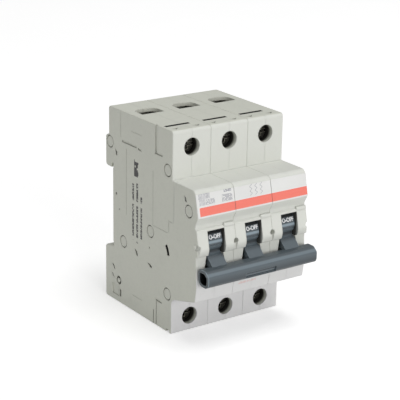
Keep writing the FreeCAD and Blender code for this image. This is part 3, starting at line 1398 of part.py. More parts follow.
def terminal_clamp(pole, end, height):
    """Clamp cage: the wire enters between its jaw and the strap."""
    piece = Piece(f"{end}_clamp_{pole}")
    inner_front = "clamp_nut - clamp_front"
    inner_rear = f"{inner_front} + clamp_mouth"
    cage = strip("clamp_half", "-clamp_front", f"{inner_rear} + clamp_jaw", "0.6")
    mouth = strip("clamp_half - clamp_side", inner_front, inner_rear)
    piece.add("XY", "-clamp_height / 2", "clamp_height / 2", [cage, mouth])
    thread = ("0", "0", "thread_diameter / 2 + thread_play")
    piece.cut("XZ", "-clamp_front", inner_front, [thread])
    return piece.place_in_pole(pole, z=height)


def terminals():
    for end, height in (("line", "line_screw_height"), ("load", "-load_screw_depth")):
        for pole in POLES:
            terminal_screw(pole, end, height)
            terminal_clamp(pole, end, height)


def rail_clip(pole):
    """Sliding clip that hooks over the rail's lower edge, with a moulded spring."""
    piece = Piece(f"rail_clip_{pole}")
    front = "rail_sheet + rail_play"
    rear = f"{front} + clip_sheet"
    foot = "clip_foot_gap - case_bottom"
    top = "clip_hook - rail_half"
    piece.add("YZ", "-clip_half", "clip_half", [[
        (front, foot),
        (rear, foot),
        (rear, f"{top} - clip_sheet / 2"),
        (f"{front} + clip_sheet / 2", top),
        (front, top),
    ]])
    window = strip("clip_window_half", "-clip_window_low", "-clip_window_top", "0.8")
    pull = strip("pull_slot_half", "-pull_slot_low", "pull_slot_gap - pull_slot_low", "0.4")
    piece.cut("XZ", front, rear, [window, pull])
    reach = "(clip_window_low - clip_window_top - clip_travel - clip_play)"
    leaf = [
        ("-clip_spring", "-clip_window_top"),
        ("-clip_window_half + clip_play", f"-clip_window_top - {reach} / 3", "0.8"),
        ("clip_window_half - clip_play - clip_spring", f"-clip_window_top - {reach} * 2 / 3", "0.8"),
        ("-clip_spring", f"-clip_window_top - {reach}"),
        ("clip_spring", f"-clip_window_top - {reach}"),
        ("clip_window_half - clip_play", f"-clip_window_top - {reach} * 2 / 3", "0.8"),
        ("-clip_window_half + clip_play + clip_spring", f"-clip_window_top - {reach} / 3", "0.8"),
        ("clip_spring", "-clip_window_top"),
    ]
    piece.add("XZ", f"{front} + clip_sheet / 4", f"{rear} - clip_sheet / 4", [leaf])
    return piece.place_in_pole(pole)


cases()
labels()
rivets()
for pole in POLES:
    toggle(pole)
handle_bar()
toggle_pins()
for pole in POLES:
    contact_arm(pole)
    link(pole)
    trip_lever(pole)
    plunger(pole)
    rail_clip(pole)
trip_pins()
tie_rods()
magnet_cores()
bobbins()
coils()
yokes()
fixed_strips()
fixed_contacts()
arc_plates()
chute_sides()
arc_runners()
line_straps()
load_straps()
bimetals()
adjusters()
braids()
springs()
terminals()
doc.recompute()


def check():
    """Stop if anything failed to build."""
    for thing in doc.Objects:
        if {"Invalid", "Error"} & set(thing.State):
            raise RuntimeError(f"{thing.Label} ({thing.TypeId}) failed: {thing.State}")
    for body in doc.findObjects("PartDesign::Body"):
        if body.Shape.isNull() or not body.Shape.isValid():
            raise RuntimeError(f"{body.Label} has no valid shape")


check()
os.makedirs("parts", exist_ok=True)
for body in doc.findObjects("PartDesign::Body"):
    body.Shape.exportStep(f"parts/{body.Label}.step")
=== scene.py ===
import json
import math

import bmesh
import bpy
from mathutils import Matrix, Vector


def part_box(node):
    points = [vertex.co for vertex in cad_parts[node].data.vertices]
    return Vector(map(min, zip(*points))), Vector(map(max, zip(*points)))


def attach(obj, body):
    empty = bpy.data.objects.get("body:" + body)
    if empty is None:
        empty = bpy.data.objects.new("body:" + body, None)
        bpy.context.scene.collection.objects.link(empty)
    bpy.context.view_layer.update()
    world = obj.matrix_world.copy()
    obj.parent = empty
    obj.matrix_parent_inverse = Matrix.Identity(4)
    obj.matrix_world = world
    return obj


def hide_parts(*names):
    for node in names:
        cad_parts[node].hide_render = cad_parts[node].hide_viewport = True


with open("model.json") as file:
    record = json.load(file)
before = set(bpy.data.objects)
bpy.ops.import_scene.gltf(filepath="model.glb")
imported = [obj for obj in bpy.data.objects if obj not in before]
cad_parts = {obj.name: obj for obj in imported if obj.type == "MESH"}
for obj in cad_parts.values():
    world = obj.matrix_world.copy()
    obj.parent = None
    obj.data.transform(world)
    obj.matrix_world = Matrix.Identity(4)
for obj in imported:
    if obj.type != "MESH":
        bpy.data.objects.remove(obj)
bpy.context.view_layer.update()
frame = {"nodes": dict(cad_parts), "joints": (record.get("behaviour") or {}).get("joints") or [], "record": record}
nodes = frame["nodes"]

MM = 0.001
POLES = (1, 2, 3)


# Places that the looks share with the solids

def middle(node):
    """The middle of a node's box."""
    low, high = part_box(node)
    return (low + high) / 2


CASE_LOW, CASE_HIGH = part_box("case_left_1")[0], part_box("case_right_3")[1]
BAR_LOW, BAR_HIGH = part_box("handle_bar")
PITCH = middle("case_left_2").x - middle("case_left_1").x
PIVOT = Vector(next(joint["pos_m"] for joint in frame["joints"] if joint["name"] == "handle_pivot"))
POLE_PLACES = {pole: middle(f"toggle_{pole}").x for pole in POLES}


# Shader maths

class Wire:
    """An output in a finish, which can be added, multiplied and compared like a number."""

    def __init__(self, finish, socket):
        self.finish = finish
        self.socket = socket

    def maths(self, operation, first, second=0.0):
        """Adds one step of arithmetic."""
        return self.finish.node("ShaderNodeMath", {"operation": operation}, {0: first, 1: second})

    def __add__(self, other):
        return self.maths("ADD", self, other)

    def __sub__(self, other):
        return self.maths("SUBTRACT", self, other)

    def __rsub__(self, other):
        return self.maths("SUBTRACT", other, self)

    def __mul__(self, other):
        return self.maths("MULTIPLY", self, other)

    __radd__ = __add__
    __rmul__ = __mul__

    def __gt__(self, other):
        return self.maths("GREATER_THAN", self, other)

    def __lt__(self, other):
        return self.maths("LESS_THAN", self, other)

    def __mod__(self, other):
        return self.maths("FLOORED_MODULO", self, other)

    def __abs__(self):
        return self.maths("ABSOLUTE", self)

    def either(self, other):
        """The larger of two masks."""
        return self.maths("MAXIMUM", self, other)

    def between(self, low, high):
        """1 between the two limits, 0 outside."""
        return (self > low) * (self < high)

    def band(self, low, high, soft):
        """1 between the two limits, which are this soft, 0 outside."""
        return self.ramp(low - soft, low + soft) * self.ramp(high + soft, high - soft)

    def angle(self, other):
        """The angle of a slope that rises by this over the other, in radians."""
        return self.maths("ARCTAN2", self, other)

    def sine(self):
        return self.maths("SINE", self)

    def ramp(self, low, high):
        """Rises from 0 at the first value to 1 at the second."""
        return self.finish.node(
            "ShaderNodeMapRange", {}, {"Value": self, "From Min": low, "From Max": high}
        )


class Finish:
    """A finish as a node material, with one method for every kind of node."""

    def __init__(self, name):
        self.material = bpy.data.materials.new(name)
        self.material.use_nodes = True
        self.tree = self.material.node_tree
        self.shader = self.tree.nodes["Principled BSDF"]
        self.place = self.node("ShaderNodeTexCoord", out="Object")

    def node(self, kind, settings=None, inputs=None, out=0):
        """Adds a node with these settings and sockets, and gives one of its outputs."""
        node = self.tree.nodes.new(kind)
        for key, value in (settings or {}).items():
            setattr(node, key, value)
        for key, value in (inputs or {}).items():
            self.feed(node.inputs[key], value)
        return Wire(self, node.outputs[out])

    def feed(self, socket, value):
        """Joins a socket to another, or gives it a fixed value."""
        if isinstance(value, Wire):
            self.tree.links.new(value.socket, socket)
        elif isinstance(value, tuple) and socket.type == "RGBA":
            socket.default_value = (*value, 1.0)
        else:
            socket.default_value = value

    def surface(self, **inputs):
        """Feeds the surface shader, with base_color=..., roughness=... and so on."""
        for name, value in inputs.items():
            self.feed(self.shader.inputs[name.replace("_", " ").title()], value)

    def noise(self, scale, detail=3.0, place=None):
        """Cloudy pattern. The scale is the number of clouds in a metre."""
        vector = place or self.place
        return self.node(
            "ShaderNodeTexNoise", {}, {"Vector": vector, "Scale": scale, "Detail": detail}
        )

    def stretched(self, scale):
        """The place, stretched by a factor along each axis."""
        return self.node("ShaderNodeMapping", {}, {"Vector": self.place, "Scale": scale})

    def blend(self, share, first, second):
        """A colour between two others."""
        return self.node(
            "ShaderNodeMix", {"data_type": "RGBA"}, {"Factor": share, 6: first, 7: second}, out=2
        )

    def parts(self, vector):
        """The three parts of a vector."""
        split = self.node("ShaderNodeSeparateXYZ", {}, {0: vector}).socket.node
        return [Wire(self, output) for output in split.outputs]

    def axes(self):
        """The three coordinates of the place, in metres."""
        return self.parts(self.place)

    def crevice(self, reach, local=True):
        """0 on open surfaces, rising to 1 in crevices and holes."""
        openness = self.node(
            "ShaderNodeAmbientOcclusion",
            {"samples": 8, "only_local": local},
            {"Distance": reach},
            out="AO",
        )
        return 1 - openness

    def rounded(self, radius):
        """The surface's direction, with its edges rounded off."""
        return self.node("ShaderNodeBevel", {"samples": 4}, {"Radius": radius})

    def edge(self, rounded):
        """1 along edges, where painted highlights go."""
        true = self.node("ShaderNodeNewGeometry", out="True Normal")
        likeness = self.node(
            "ShaderNodeVectorMath", {"operation": "DOT_PRODUCT"}, {0: rounded, 1: true}, out="Value"
        )
        return likeness.ramp(0.995, 0.9)

    def bump(self, height, depth, normal=None):
        """The surface's direction, with bumps as deep as this where the height is 1."""
        inputs = {"Height": height, "Distance": depth, "Strength": 0.6}
        if normal:
            inputs["Normal"] = normal
        return self.node("ShaderNodeBump", {}, inputs)


def shade(colour, factor):
    """A colour made lighter or darker."""
    return tuple(channel * factor for channel in colour)


# Finishes

HOUSING = (0.640, 0.652, 0.575)
# Paler, more neutral tones of the fronts and of their lower part; the paleness is partly painted light
FRONT = (0.665, 0.675, 0.635)
LOW_FRONT = (0.695, 0.692, 0.690)
RED_PRINT = (0.70, 0.30, 0.26)
# Colour of painted shadow: in holes, slits, pits, window walls and the tie slot, and deep round screws and clamps
PAINTED_SHADOW = (0.019, 0.018, 0.015)
TOGGLE = (0.098, 0.122, 0.138)
LABEL_WHITE = (0.745, 0.745, 0.73)
STRIPE = (0.91, 0.215, 0.165)
PRINT_GREY = (0.30, 0.30, 0.34)
PRINT_BLACK = (0.03, 0.03, 0.03)


def moulded(finish, colour, grain, soften):
    """Colour and normal of moulded plastic: flow clouds, a fine sparked grain, soft edges."""
    flow = finish.noise(40.0, 4.0)
    speckle = finish.noise(700.0, 2.0)
    tone = finish.blend(flow, shade(colour, 0.95), shade(colour, 1.05))
    tone = finish.blend(speckle.ramp(0.5, 0.8) * 0.35, tone, shade(colour, 0.88))
    rounded = finish.rounded(soften)
    normal = finish.bump(finish.noise(2600.0, 2.0), grain, rounded)
    return tone, normal, flow, rounded


def plastic(name, colour, roughness, grain=0.03 * MM, crevice_shade=0.5):
    """Plain moulded plastic, with painted shade in its corners."""
    finish = Finish(name)
    tone, normal, flow, _ = moulded(finish, colour, grain, 0.25 * MM)
    # Painted shade: darker where the surface is closed in, in corners and crevices
    shaded = finish.crevice(2.0 * MM).ramp(0.25, 1.0) * crevice_shade
    tone = finish.blend(shaded, tone, shade(colour, 0.15))
    finish.surface(base_color=tone, roughness=flow * 0.1 + (roughness - 0.05), normal=normal)
    return finish.material


# Places on the case that its finish follows. Depth is less than 0 in front of the rail
SKIN = 0.05 * MM
CASE_FACE = -44.0 * MM
EAR_FACE = -62.2 * MM
LOW_FRONT_TOP, LOW_FRONT_FULL = -9.0 * MM, -13.0 * MM
CHIN_BOTTOM = -22.7 * MM
HOLE_RADIUS = 3.75 * MM
HOLE_LIT, HOLE_DARK, HOLE_END = CASE_FACE + 1.2 * MM, CASE_FACE + 2.6 * MM, -30.0 * MM
SLIT_LEFT, SLIT_RIGHT = 1.3 * MM, 12.6 * MM
SLIT_FRONT, SLIT_REAR = -37.35 * MM, -35.55 * MM
SLIT_REACH = 5.0 * MM
WINDOW_HALF = 3.95 * MM
WINDOW_LOW, WINDOW_HIGH = -9.6 * MM, 5.9 * MM
WINDOW_LIT, WINDOW_DARK = -62.0 * MM, -60.6 * MM
PIT_FLOOR, PIT_FLOOR_SPREAD = CASE_LOW.x + 1.0 * MM, 0.15 * MM
SEAM_HOLE = 1.4 * MM
SEAM_HOLE_END = EAR_FACE + 4.0 * MM
TIE_SLOT_WALL = 1.7 * MM
TIE_SLOT_FRONT, TIE_SLOT_REAR = -43.0 * MM, -38.6 * MM
TIE_SLOT_LOW, TIE_SLOT_HIGH = -10.2 * MM, -4.4 * MM
CHIN_PRINT_LEFT, CHIN_PRINT_RIGHT = -6.3 * MM, 2.3 * MM
CHIN_PRINT_LOW, CHIN_PRINT_HIGH = -19.1 * MM, -18.2 * MM
CHIN_FACE = -60.0 * MM
# Columns of print on the left side: front, rear, low, high and the size of a speck, in millimetres
SIDE_PRINT = [
    (-16.3, -15.0, -10.5, 13.6, 0.42),
    (-19.4, -18.1, -11.2, 14.4, 0.42),
    (-22.4, -21.2, -8.5, 9.4, 0.42),
    (-19.6, -16.4, 17.0, 24.0, 0.8),
]


def aside_from(across, place):
    """How far to either side of this place, or of the same place on the next poles."""
    return abs((across - place + PITCH / 2) % PITCH - PITCH / 2)


def opening_box(name):
    """The room in an opening, as the record gives it."""
    openings = frame["record"]["physics"]["openings"]
    low, high = next(entry["box_m"] for entry in openings if entry["name"] == name)
    return Vector(low), Vector(high)


def hole_shadow(across, deep, up, opening):
    """1 deep in the round screwdriver holes of this row, 0 at their mouths."""
    low, high = opening_box(opening)
    centre = (low + high) / 2
    aside = aside_from(across, centre.x)
    above = up - centre.z
    near = ((aside * aside + above * above) < HOLE_RADIUS ** 2) * (deep < HOLE_END)
    return near * deep.ramp(HOLE_LIT, HOLE_DARK)


def slit_shadow(across, deep, up):
    """1 inside the busbar slits of the top and the underside, and on their rims."""
    aside = (across - CASE_LOW.x) % PITCH
    inside = aside.between(SLIT_LEFT, SLIT_RIGHT) * deep.between(SLIT_FRONT, SLIT_REAR)
    return inside * (abs(up) > CASE_HIGH.z - SLIT_REACH)


def window_shadow(across, deep, up):
    """Rises to 1 down the side walls of the windows in which the toggles stand."""
    aside = aside_from(across, CASE_LOW.x + PITCH / 2)
    walls = aside.between(WINDOW_HALF - 2 * SKIN, WINDOW_HALF + SKIN)
    return walls * up.between(WINDOW_LOW, WINDOW_HIGH) * deep.ramp(WINDOW_LIT, WINDOW_DARK)


def pit_shadow(finish, across, deep):
    """1 on the floors of the deep pits in the left side."""
    normal = finish.node("ShaderNodeNewGeometry", out="True Normal")
    to_left = finish.parts(normal)[0] < -0.9
    floors = across.between(PIT_FLOOR - PIT_FLOOR_SPREAD, PIT_FLOOR + PIT_FLOOR_SPREAD)
    return to_left * floors * (deep > SEAM_HOLE_END)


def seam_hole(across, deep, up):
    """1 in the holes of the seams between the ears, and in the half holes at the outer sides."""
    aside = aside_from(across, CASE_LOW.x)
    near = (aside * aside + up * up) < SEAM_HOLE ** 2
    return near * (deep < SEAM_HOLE_END)


def tie_slot_shadow(across, deep, up):
    """1 on the walls of the curved slot in the left side."""
    wall = across.between(CASE_LOW.x + SKIN, CASE_LOW.x + TIE_SLOT_WALL)
    wall = wall * deep.between(TIE_SLOT_FRONT, TIE_SLOT_REAR)
    return wall * up.between(TIE_SLOT_LOW, TIE_SLOT_HIGH)


def small_print(finish, dot):
    """Specks that look like lines of small print, without letters."""
    cell = finish.node("ShaderNodeVectorMath", {"operation": "SNAP"}, {
        0: finish.place,
        1: (dot, dot, dot),
    })
    specks = finish.node("ShaderNodeTexWhiteNoise", {"noise_dimensions": "3D"}, {"Vector": cell})
    words = finish.noise(1.0, 0.0, finish.stretched((0.0, 0.0, 260.0)))
    return (specks > 0.22) * (words > 0.33)


def case_plastic():
    """Warm grey housing with small print, paler in front partly as painted light, with painted shade in its
    crevices and under the chin, and painted shadow in its holes, slits, pits, window walls and tie slot.
    """
    finish = Finish("case_plastic")
    tone, normal, flow, _ = moulded(finish, HOUSING, 0.03 * MM, 0.5 * MM)
    across, deep, up = finish.axes()
    left_side = across < CASE_LOW.x + SKIN
    fronts = across.between(CASE_LOW.x + SKIN, CASE_HIGH.x - SKIN)
    fronts = fronts * (deep < CASE_FACE + 0.6 * MM)
    # Fronts paler and more neutral, partly as painted light on the faces turned to the lamps
    tone = finish.blend(fronts * 0.8, tone, FRONT)
    # Lower fronts paler still, partly painted light; under the chin a little darker, as painted shade
    low_front = up.ramp(LOW_FRONT_TOP, LOW_FRONT_FULL) * fronts
    tone = finish.blend(low_front * 0.9, tone, LOW_FRONT)
    under_chin = low_front * (up < CHIN_BOTTOM)
    tone = finish.blend(under_chin, tone, shade(LOW_FRONT, 0.94))
    smudge = finish.noise(130.0, 3.0).ramp(0.62, 0.8) * 0.10
    tone = finish.blend(smudge, tone, shade(HOUSING, 0.55))
    # Painted shade in crevices, weaker in the seam holes
    crevice = finish.crevice(1.6 * MM).ramp(0.42, 1.0)
    crevice = crevice * (0.85 - seam_hole(across, deep, up) * 0.35)
    tone = finish.blend(crevice, tone, shade(HOUSING, 0.12))
    # Painted shadow in the driver holes, busbar slits, side pits, window walls and tie slot
    shadow = hole_shadow(across, deep, up, "line_driver_hole_1")
    shadow = shadow.either(hole_shadow(across, deep, up, "load_driver_hole_1"))
    shadow = shadow.either(slit_shadow(across, deep, up))
    shadow = shadow.either(pit_shadow(finish, across, deep))
    shadow = shadow.either(window_shadow(across, deep, up) * 0.93)
    shadow = shadow.either(tie_slot_shadow(across, deep, up))
    tone = finish.blend(shadow, tone, PAINTED_SHADOW)
    for front, rear, low, high, speck in SIDE_PRINT:
        column = deep.between(front * MM, rear * MM) * up.between(low * MM, high * MM)
        marks = small_print(finish, speck * MM) * column * left_side
        tone = finish.blend(marks, tone, PRINT_BLACK)
    line = across.between(CHIN_PRINT_LEFT, CHIN_PRINT_RIGHT) * (deep < CHIN_FACE)
    line = line * up.between(CHIN_PRINT_LOW, CHIN_PRINT_HIGH) * small_print(finish, 0.3 * MM)
    tone = finish.blend(line * 0.4, tone, RED_PRINT)
    finish.surface(base_color=tone, roughness=flow * 0.1 + 0.42, normal=normal)
    return finish.material


# How far the levers hang under level at rest, in degrees
LEVER_ANGLE = 41.8
# Bands of painted shade and painted highlight across the drum: from and to, in degrees from the lever, and how
# light they are
DRUM_PAINTED_LIGHT = [(73, 180, 0.08), (54, 73, 0.7), (45, 52.5, 2.5), (37, 41, 0.4), (9, 17, 0.35)]


def drum_painted_light(finish, tone, colour):
    """Bands of painted shade and painted highlight across the drums, by the angle from the lever."""
    _, deep, up = finish.axes()
    turn = (up - PIVOT.z).angle(PIVOT.y - deep)
    from_lever = abs(turn * math.degrees(1) + LEVER_ANGLE)
    for low, high, light in DRUM_PAINTED_LIGHT:
        tone = finish.blend(from_lever.band(low, high, 1.2), tone, shade(colour, light))
    return tone


# Places on the bar. Its shape is made with the wall and the recess too
BAR_SKIN = 0.06 * MM
BAR_RIM = 0.5 * MM
BAR_FRONT_REACH = 1.9 * MM
SLOPE_TOP, SLOPE_FOOT = 0.7 * MM, 1.65 * MM
FRONT_TOP, FRONT_FOOT = 1.9 * MM, 4.6 * MM
BAR_WALL = 1.05 * MM
GRIP_LEFT, GRIP_RIGHT = -8.6 * MM, 6.2 * MM
GRIP_LOW, GRIP_HIGH = BAR_LOW.z + 0.6 * MM, BAR_LOW.z + 3.0 * MM


def bar_painted_light(finish, tone, colour):
    """Painted highlight on the slope, a front lighter at the top and darker downwards, a painted highlight on the
    recess's ridge with painted shade under its lip and at its left end, a painted highlight on the rim and painted
    shade in the hollow.
    """
    across, deep, up = finish.axes()
    under_top = BAR_HIGH.z - up
    front = deep.ramp(BAR_LOW.y + BAR_FRONT_REACH, BAR_LOW.y + 1.5 * MM)
    fall = under_top.ramp(FRONT_TOP, FRONT_FOOT)
    face = finish.blend(fall, shade(colour, 1.4), shade(colour, 0.70))
    tone = finish.blend(front * under_top.ramp(1.5 * MM, FRONT_TOP) * 0.9, tone, face)
    # Painted highlight on the slope
    slope = front * under_top.band(SLOPE_TOP, SLOPE_FOOT, 0.15 * MM)
    tone = finish.blend(slope, tone, shade(colour, 2.05))
    # In the recess: a painted highlight on the ridge, painted shade under the lip and at the left end
    grip = front * across.between(GRIP_LEFT, GRIP_RIGHT)
    painted_highlight = grip * up.band(GRIP_LOW + 0.3 * MM, GRIP_HIGH - 0.9 * MM, 0.15 * MM)
    tone = finish.blend(painted_highlight, tone, shade(colour, 1.6))
    lip = up.band(GRIP_HIGH - 0.6 * MM, GRIP_HIGH, 0.1 * MM)
    dark = grip * up.between(GRIP_LOW, GRIP_HIGH) * lip.either(across < GRIP_LEFT + 0.5 * MM)
    tone = finish.blend(dark * 0.8, tone, shade(colour, 0.3))
    # Painted highlight on the rim at the left end
    rim = across.between(BAR_LOW.x + BAR_SKIN, BAR_LOW.x + BAR_RIM)
    tone = finish.blend(rim * 0.8, tone, shade(colour, 2.6))
    # Painted shade in the hollow of the end
    hollow = across > BAR_LOW.x + BAR_SKIN
    for place, low, high in ((deep, BAR_LOW.y, BAR_HIGH.y), (up, BAR_LOW.z, BAR_HIGH.z)):
        hollow = hollow * place.between(low + BAR_WALL, high - BAR_WALL)
    return finish.blend(hollow, tone, shade(colour, 0.08))


def toggle_plastic(name, colour, bands):
    """Satin blue-grey plastic with a painted highlight along its edges, painted shade in its crevices and near
    other parts, and bands of painted light and shade.
    """
    finish = Finish(name)
    tone, normal, flow, rounded = moulded(finish, colour, 0.02 * MM, 0.4 * MM)
    tone = bands(finish, tone, colour)
    # Painted highlight along the edges
    tone = finish.blend(finish.edge(rounded) * 0.5, tone, shade(colour, 2.8))
    # Painted shade in crevices and where other parts come close
    crevice = finish.crevice(1.8 * MM, local=False).ramp(0.4, 0.95)
    tone = finish.blend(crevice * 0.9, tone, shade(colour, 0.08))
    finish.surface(base_color=tone, roughness=flow * 0.12 + 0.34, normal=normal)
    return finish.material


# Places on the label
STRIPE_LEFT, STRIPE_RIGHT = -25.5 * MM, 26.5 * MM
STRIPE_LOW, STRIPE_HIGH = 12.5 * MM, 15.8 * MM
# Printed places on the label: left, low, right and high in millimetres, and how dark
LABEL_BLOCKS = [(-25.7, 18.9, -20.3, 21.3, 0.6), (-25.4, 16.5, -22.6, 18.9, 0.5)]
LABEL_PRINT = [
    (-22.4, 16.6, -18.2, 18.6, 0.6),
    (-13.7, 20.0, -10.2, 21.1, 0.85),
    (-14.8, 16.5, -9.9, 19.2, 0.6),
]
# Three wavy lines, as in the diagram of a three-pole switch
WAVE_PLACES = (-0.9 * MM, 1.6 * MM, 4.1 * MM)
WAVE_LOW, WAVE_HIGH = 16.6 * MM, 20.9 * MM
WAVE_LENGTH, WAVE_SWAY, WAVE_HALF = 1.7 * MM, 0.42 * MM, 0.17 * MM


def printed_label():
    """Film with an orange-red stripe, and grey print in plain blocks and lines."""
    finish = Finish("printed_label")
    across, _, up = finish.axes()
    fibres = finish.noise(1500.0, 3.0)
    clouds = finish.noise(90.0, 2.0)
    paper = finish.blend(clouds, shade(LABEL_WHITE, 0.94), shade(LABEL_WHITE, 1.05))
    ink = finish.blend(fibres, shade(STRIPE, 0.92), STRIPE)
    stripe = up.between(STRIPE_LOW, STRIPE_HIGH) * across.between(STRIPE_LEFT, STRIPE_RIGHT)
    tone = finish.blend(stripe, paper, ink)
    for left, low, right, high, strength in LABEL_BLOCKS:
        block = across.between(left * MM, right * MM) * up.between(low * MM, high * MM)
        tone = finish.blend(block * fibres.ramp(0.2, 0.6) * strength, tone, PRINT_GREY)
    for left, low, right, high, strength in LABEL_PRINT:
        block = across.between(left * MM, right * MM) * up.between(low * MM, high * MM)
        tone = finish.blend(block * small_print(finish, 0.42 * MM) * strength, tone, PRINT_GREY)
    sway = (up * (math.tau / WAVE_LENGTH)).sine() * WAVE_SWAY
    for place in WAVE_PLACES:
        line = (abs(across - sway - place) < WAVE_HALF) * up.between(WAVE_LOW, WAVE_HIGH)
        tone = finish.blend(line * 0.7, tone, PRINT_GREY)
    edge = finish.rounded(0.1 * MM)
    finish.surface(base_color=tone, roughness=fibres * 0.1 + 0.32, normal=edge)
    return finish.material


def metal(name, colour, roughness, lines=None, crevice_shade=0.0, painted_highlight=0.0):
    """Metal with a cloudy shine. Lines stretch the pattern along an axis, as brushing does. It can take painted
    shade where other parts close round it, and a painted highlight along its edges.
    """
    finish = Finish(name)
    cloud = finish.noise(300.0, 4.0)
    spots = finish.noise(1500.0, 3.0)
    tone = finish.blend(cloud, shade(colour, 0.75), shade(colour, 1.12))
    if crevice_shade:
        # Painted shade where other parts close round the metal
        tone = finish.blend(finish.crevice(6.0 * MM, local=False) * crevice_shade, tone, PAINTED_SHADOW)
    if painted_highlight:
        # Painted highlight: edges lighter, as glints
        edges = finish.edge(finish.rounded(0.35 * MM))
        tone = finish.blend(edges * painted_highlight, tone, shade(colour, 5.0))
    grain = finish.noise(1.0, 2.0, finish.stretched(lines)) if lines else spots
    normal = finish.bump(grain, 0.01 * MM, finish.rounded(0.12 * MM))
    shine = cloud * 0.14 + spots * 0.1 + (roughness - 0.1)
    finish.surface(base_color=tone, metallic=1.0, roughness=shine, normal=normal)
    return finish.material


def braided_copper():
    """Bright copper wires laid in a flat weave."""
    finish = Finish("braided_copper")
    turned = finish.node(
        "ShaderNodeMapping", {}, {"Vector": finish.place, "Rotation": (0.8, 0.6, 0.0)}
    )
    weave = finish.node(
        "ShaderNodeTexWave",
        {"wave_type": "BANDS", "bands_direction": "DIAGONAL"},
        {"Vector": turned, "Scale": 1400.0, "Distortion": 2.0},
        out="Fac",
    )
    tone = finish.blend(weave, (0.30, 0.10, 0.05), (0.80, 0.38, 0.22))
    finish.surface(
        base_color=tone,
        metallic=1.0,
        roughness=weave * 0.2 + 0.3,
        normal=finish.bump(weave, 0.08 * MM),
    )
    return finish.material


def pressed_fibre():
    """Red vulcanised fibre with a felted face."""
    finish = Finish("pressed_fibre")
    felt = finish.noise(1.0, 5.0, finish.stretched((400.0, 1600.0, 400.0)))
    tone = finish.blend(felt, (0.20, 0.035, 0.025), (0.42, 0.11, 0.07))
    finish.surface(base_color=tone, roughness=felt * 0.2 + 0.55, normal=finish.bump(felt, 0.06 * MM))
    return finish.material


STEEL = metal("sheet_steel", (0.43, 0.43, 0.43), 0.42, (5000.0, 120.0, 5000.0))
COPPER = metal("strap_copper", (0.72, 0.34, 0.20), 0.38, (4000.0, 4000.0, 150.0))
CASE = case_plastic()
# Screws and clamps take painted shade deep in their holes, and the screws a painted highlight on their edges
SCREW_ZINC = metal("screw_zinc", (0.17, 0.165, 0.14), 0.36, crevice_shade=0.95, painted_highlight=0.8)
CLAMP_ZINC = metal("clamp_zinc", (0.40, 0.39, 0.34), 0.4, (3000.0, 150.0, 3000.0), crevice_shade=0.8)

FINISHES = {
    "case_left": CASE,
    "case_right": CASE,
    "front_labels": printed_label(),
    # Painted shade in the corners and grooves round the rivets
    "case_rivets": plastic("rivet_plastic", shade(HOUSING, 0.96), 0.46, 0.02 * MM, crevice_shade=0.8),
    "toggle": toggle_plastic("toggle_plastic", TOGGLE, drum_painted_light),
    "handle_bar": toggle_plastic("bar_plastic", shade(TOGGLE, 0.74), bar_painted_light),
    "toggle_pins": STEEL,
    "trip_pins": STEEL,
    "tie_rods": metal("burnished_steel", (0.07, 0.07, 0.07), 0.45),
    "contact_arm": COPPER,
    "trip_link": STEEL,
    "trip_lever": plastic("lever_plastic", (0.66, 0.61, 0.48), 0.45),
    "plunger": STEEL,
    "rail_clip": plastic("clip_plastic", (0.42, 0.43, 0.40), 0.42),
    "magnet_cores": STEEL,
    "coil_bobbins": plastic("bobbin_plastic", (0.035, 0.035, 0.037), 0.5),
    "trip_coils": metal("enamelled_copper", (0.50, 0.17, 0.07), 0.24, (60.0, 2600.0, 60.0)),
    "magnet_yokes": STEEL,
    "fixed_contact_strips": COPPER,
    "fixed_contacts": metal("contact_silver", (0.76, 0.75, 0.71), 0.36),
    "arc_plates": metal("plated_steel", (0.50, 0.44, 0.36), 0.4, (5000.0, 120.0, 5000.0)),
    "arc_chute_sides": pressed_fibre(),
    "arc_runners": COPPER,
    "line_straps": COPPER,
    "load_straps": COPPER,
    "bimetals": metal("bimetal_strip", (0.56, 0.52, 0.45), 0.36, (5000.0, 5000.0, 120.0)),
    "adjusting_screws": CLAMP_ZINC,
    "copper_braids": braided_copper(),
    "toggle_springs": metal("spring_steel", (0.30, 0.30, 0.31), 0.3),
    "arm_springs": metal("spring_steel_arm", (0.30, 0.30, 0.31), 0.3),
    "line_screw": SCREW_ZINC,
    "load_screw": SCREW_ZINC,
    "line_clamp": CLAMP_ZINC,
    "load_clamp": CLAMP_ZINC,
}


def dress(name, node):
    """Gives a node of the solids its finish."""
    kind = name if name in FINISHES else name.rstrip("123_")
    node.data.materials.clear()
    node.data.materials.append(FINISHES[kind])


for name, node in nodes.items():
    dress(name, node)


# Pieces that are made here

def make_object(name, shape, material):
    """Turns a shape into an object with one finish."""
    mesh = bpy.data.meshes.new(name)
    shape.to_mesh(mesh)
    shape.free()
    mesh.materials.append(material)
    made = bpy.data.objects.new(name, mesh)
    bpy.context.scene.collection.objects.link(made)
    return made


# The bar, in place of the solid: its recess lies further left, and its hollow ends are rounder

BAR_SLOPE, BAR_SLOPE_DEPTH = 1.7 * MM, 2.2 * MM
BAR_HOLLOW = 6.0 * MM
GRIP_DEPTH = 0.8 * MM


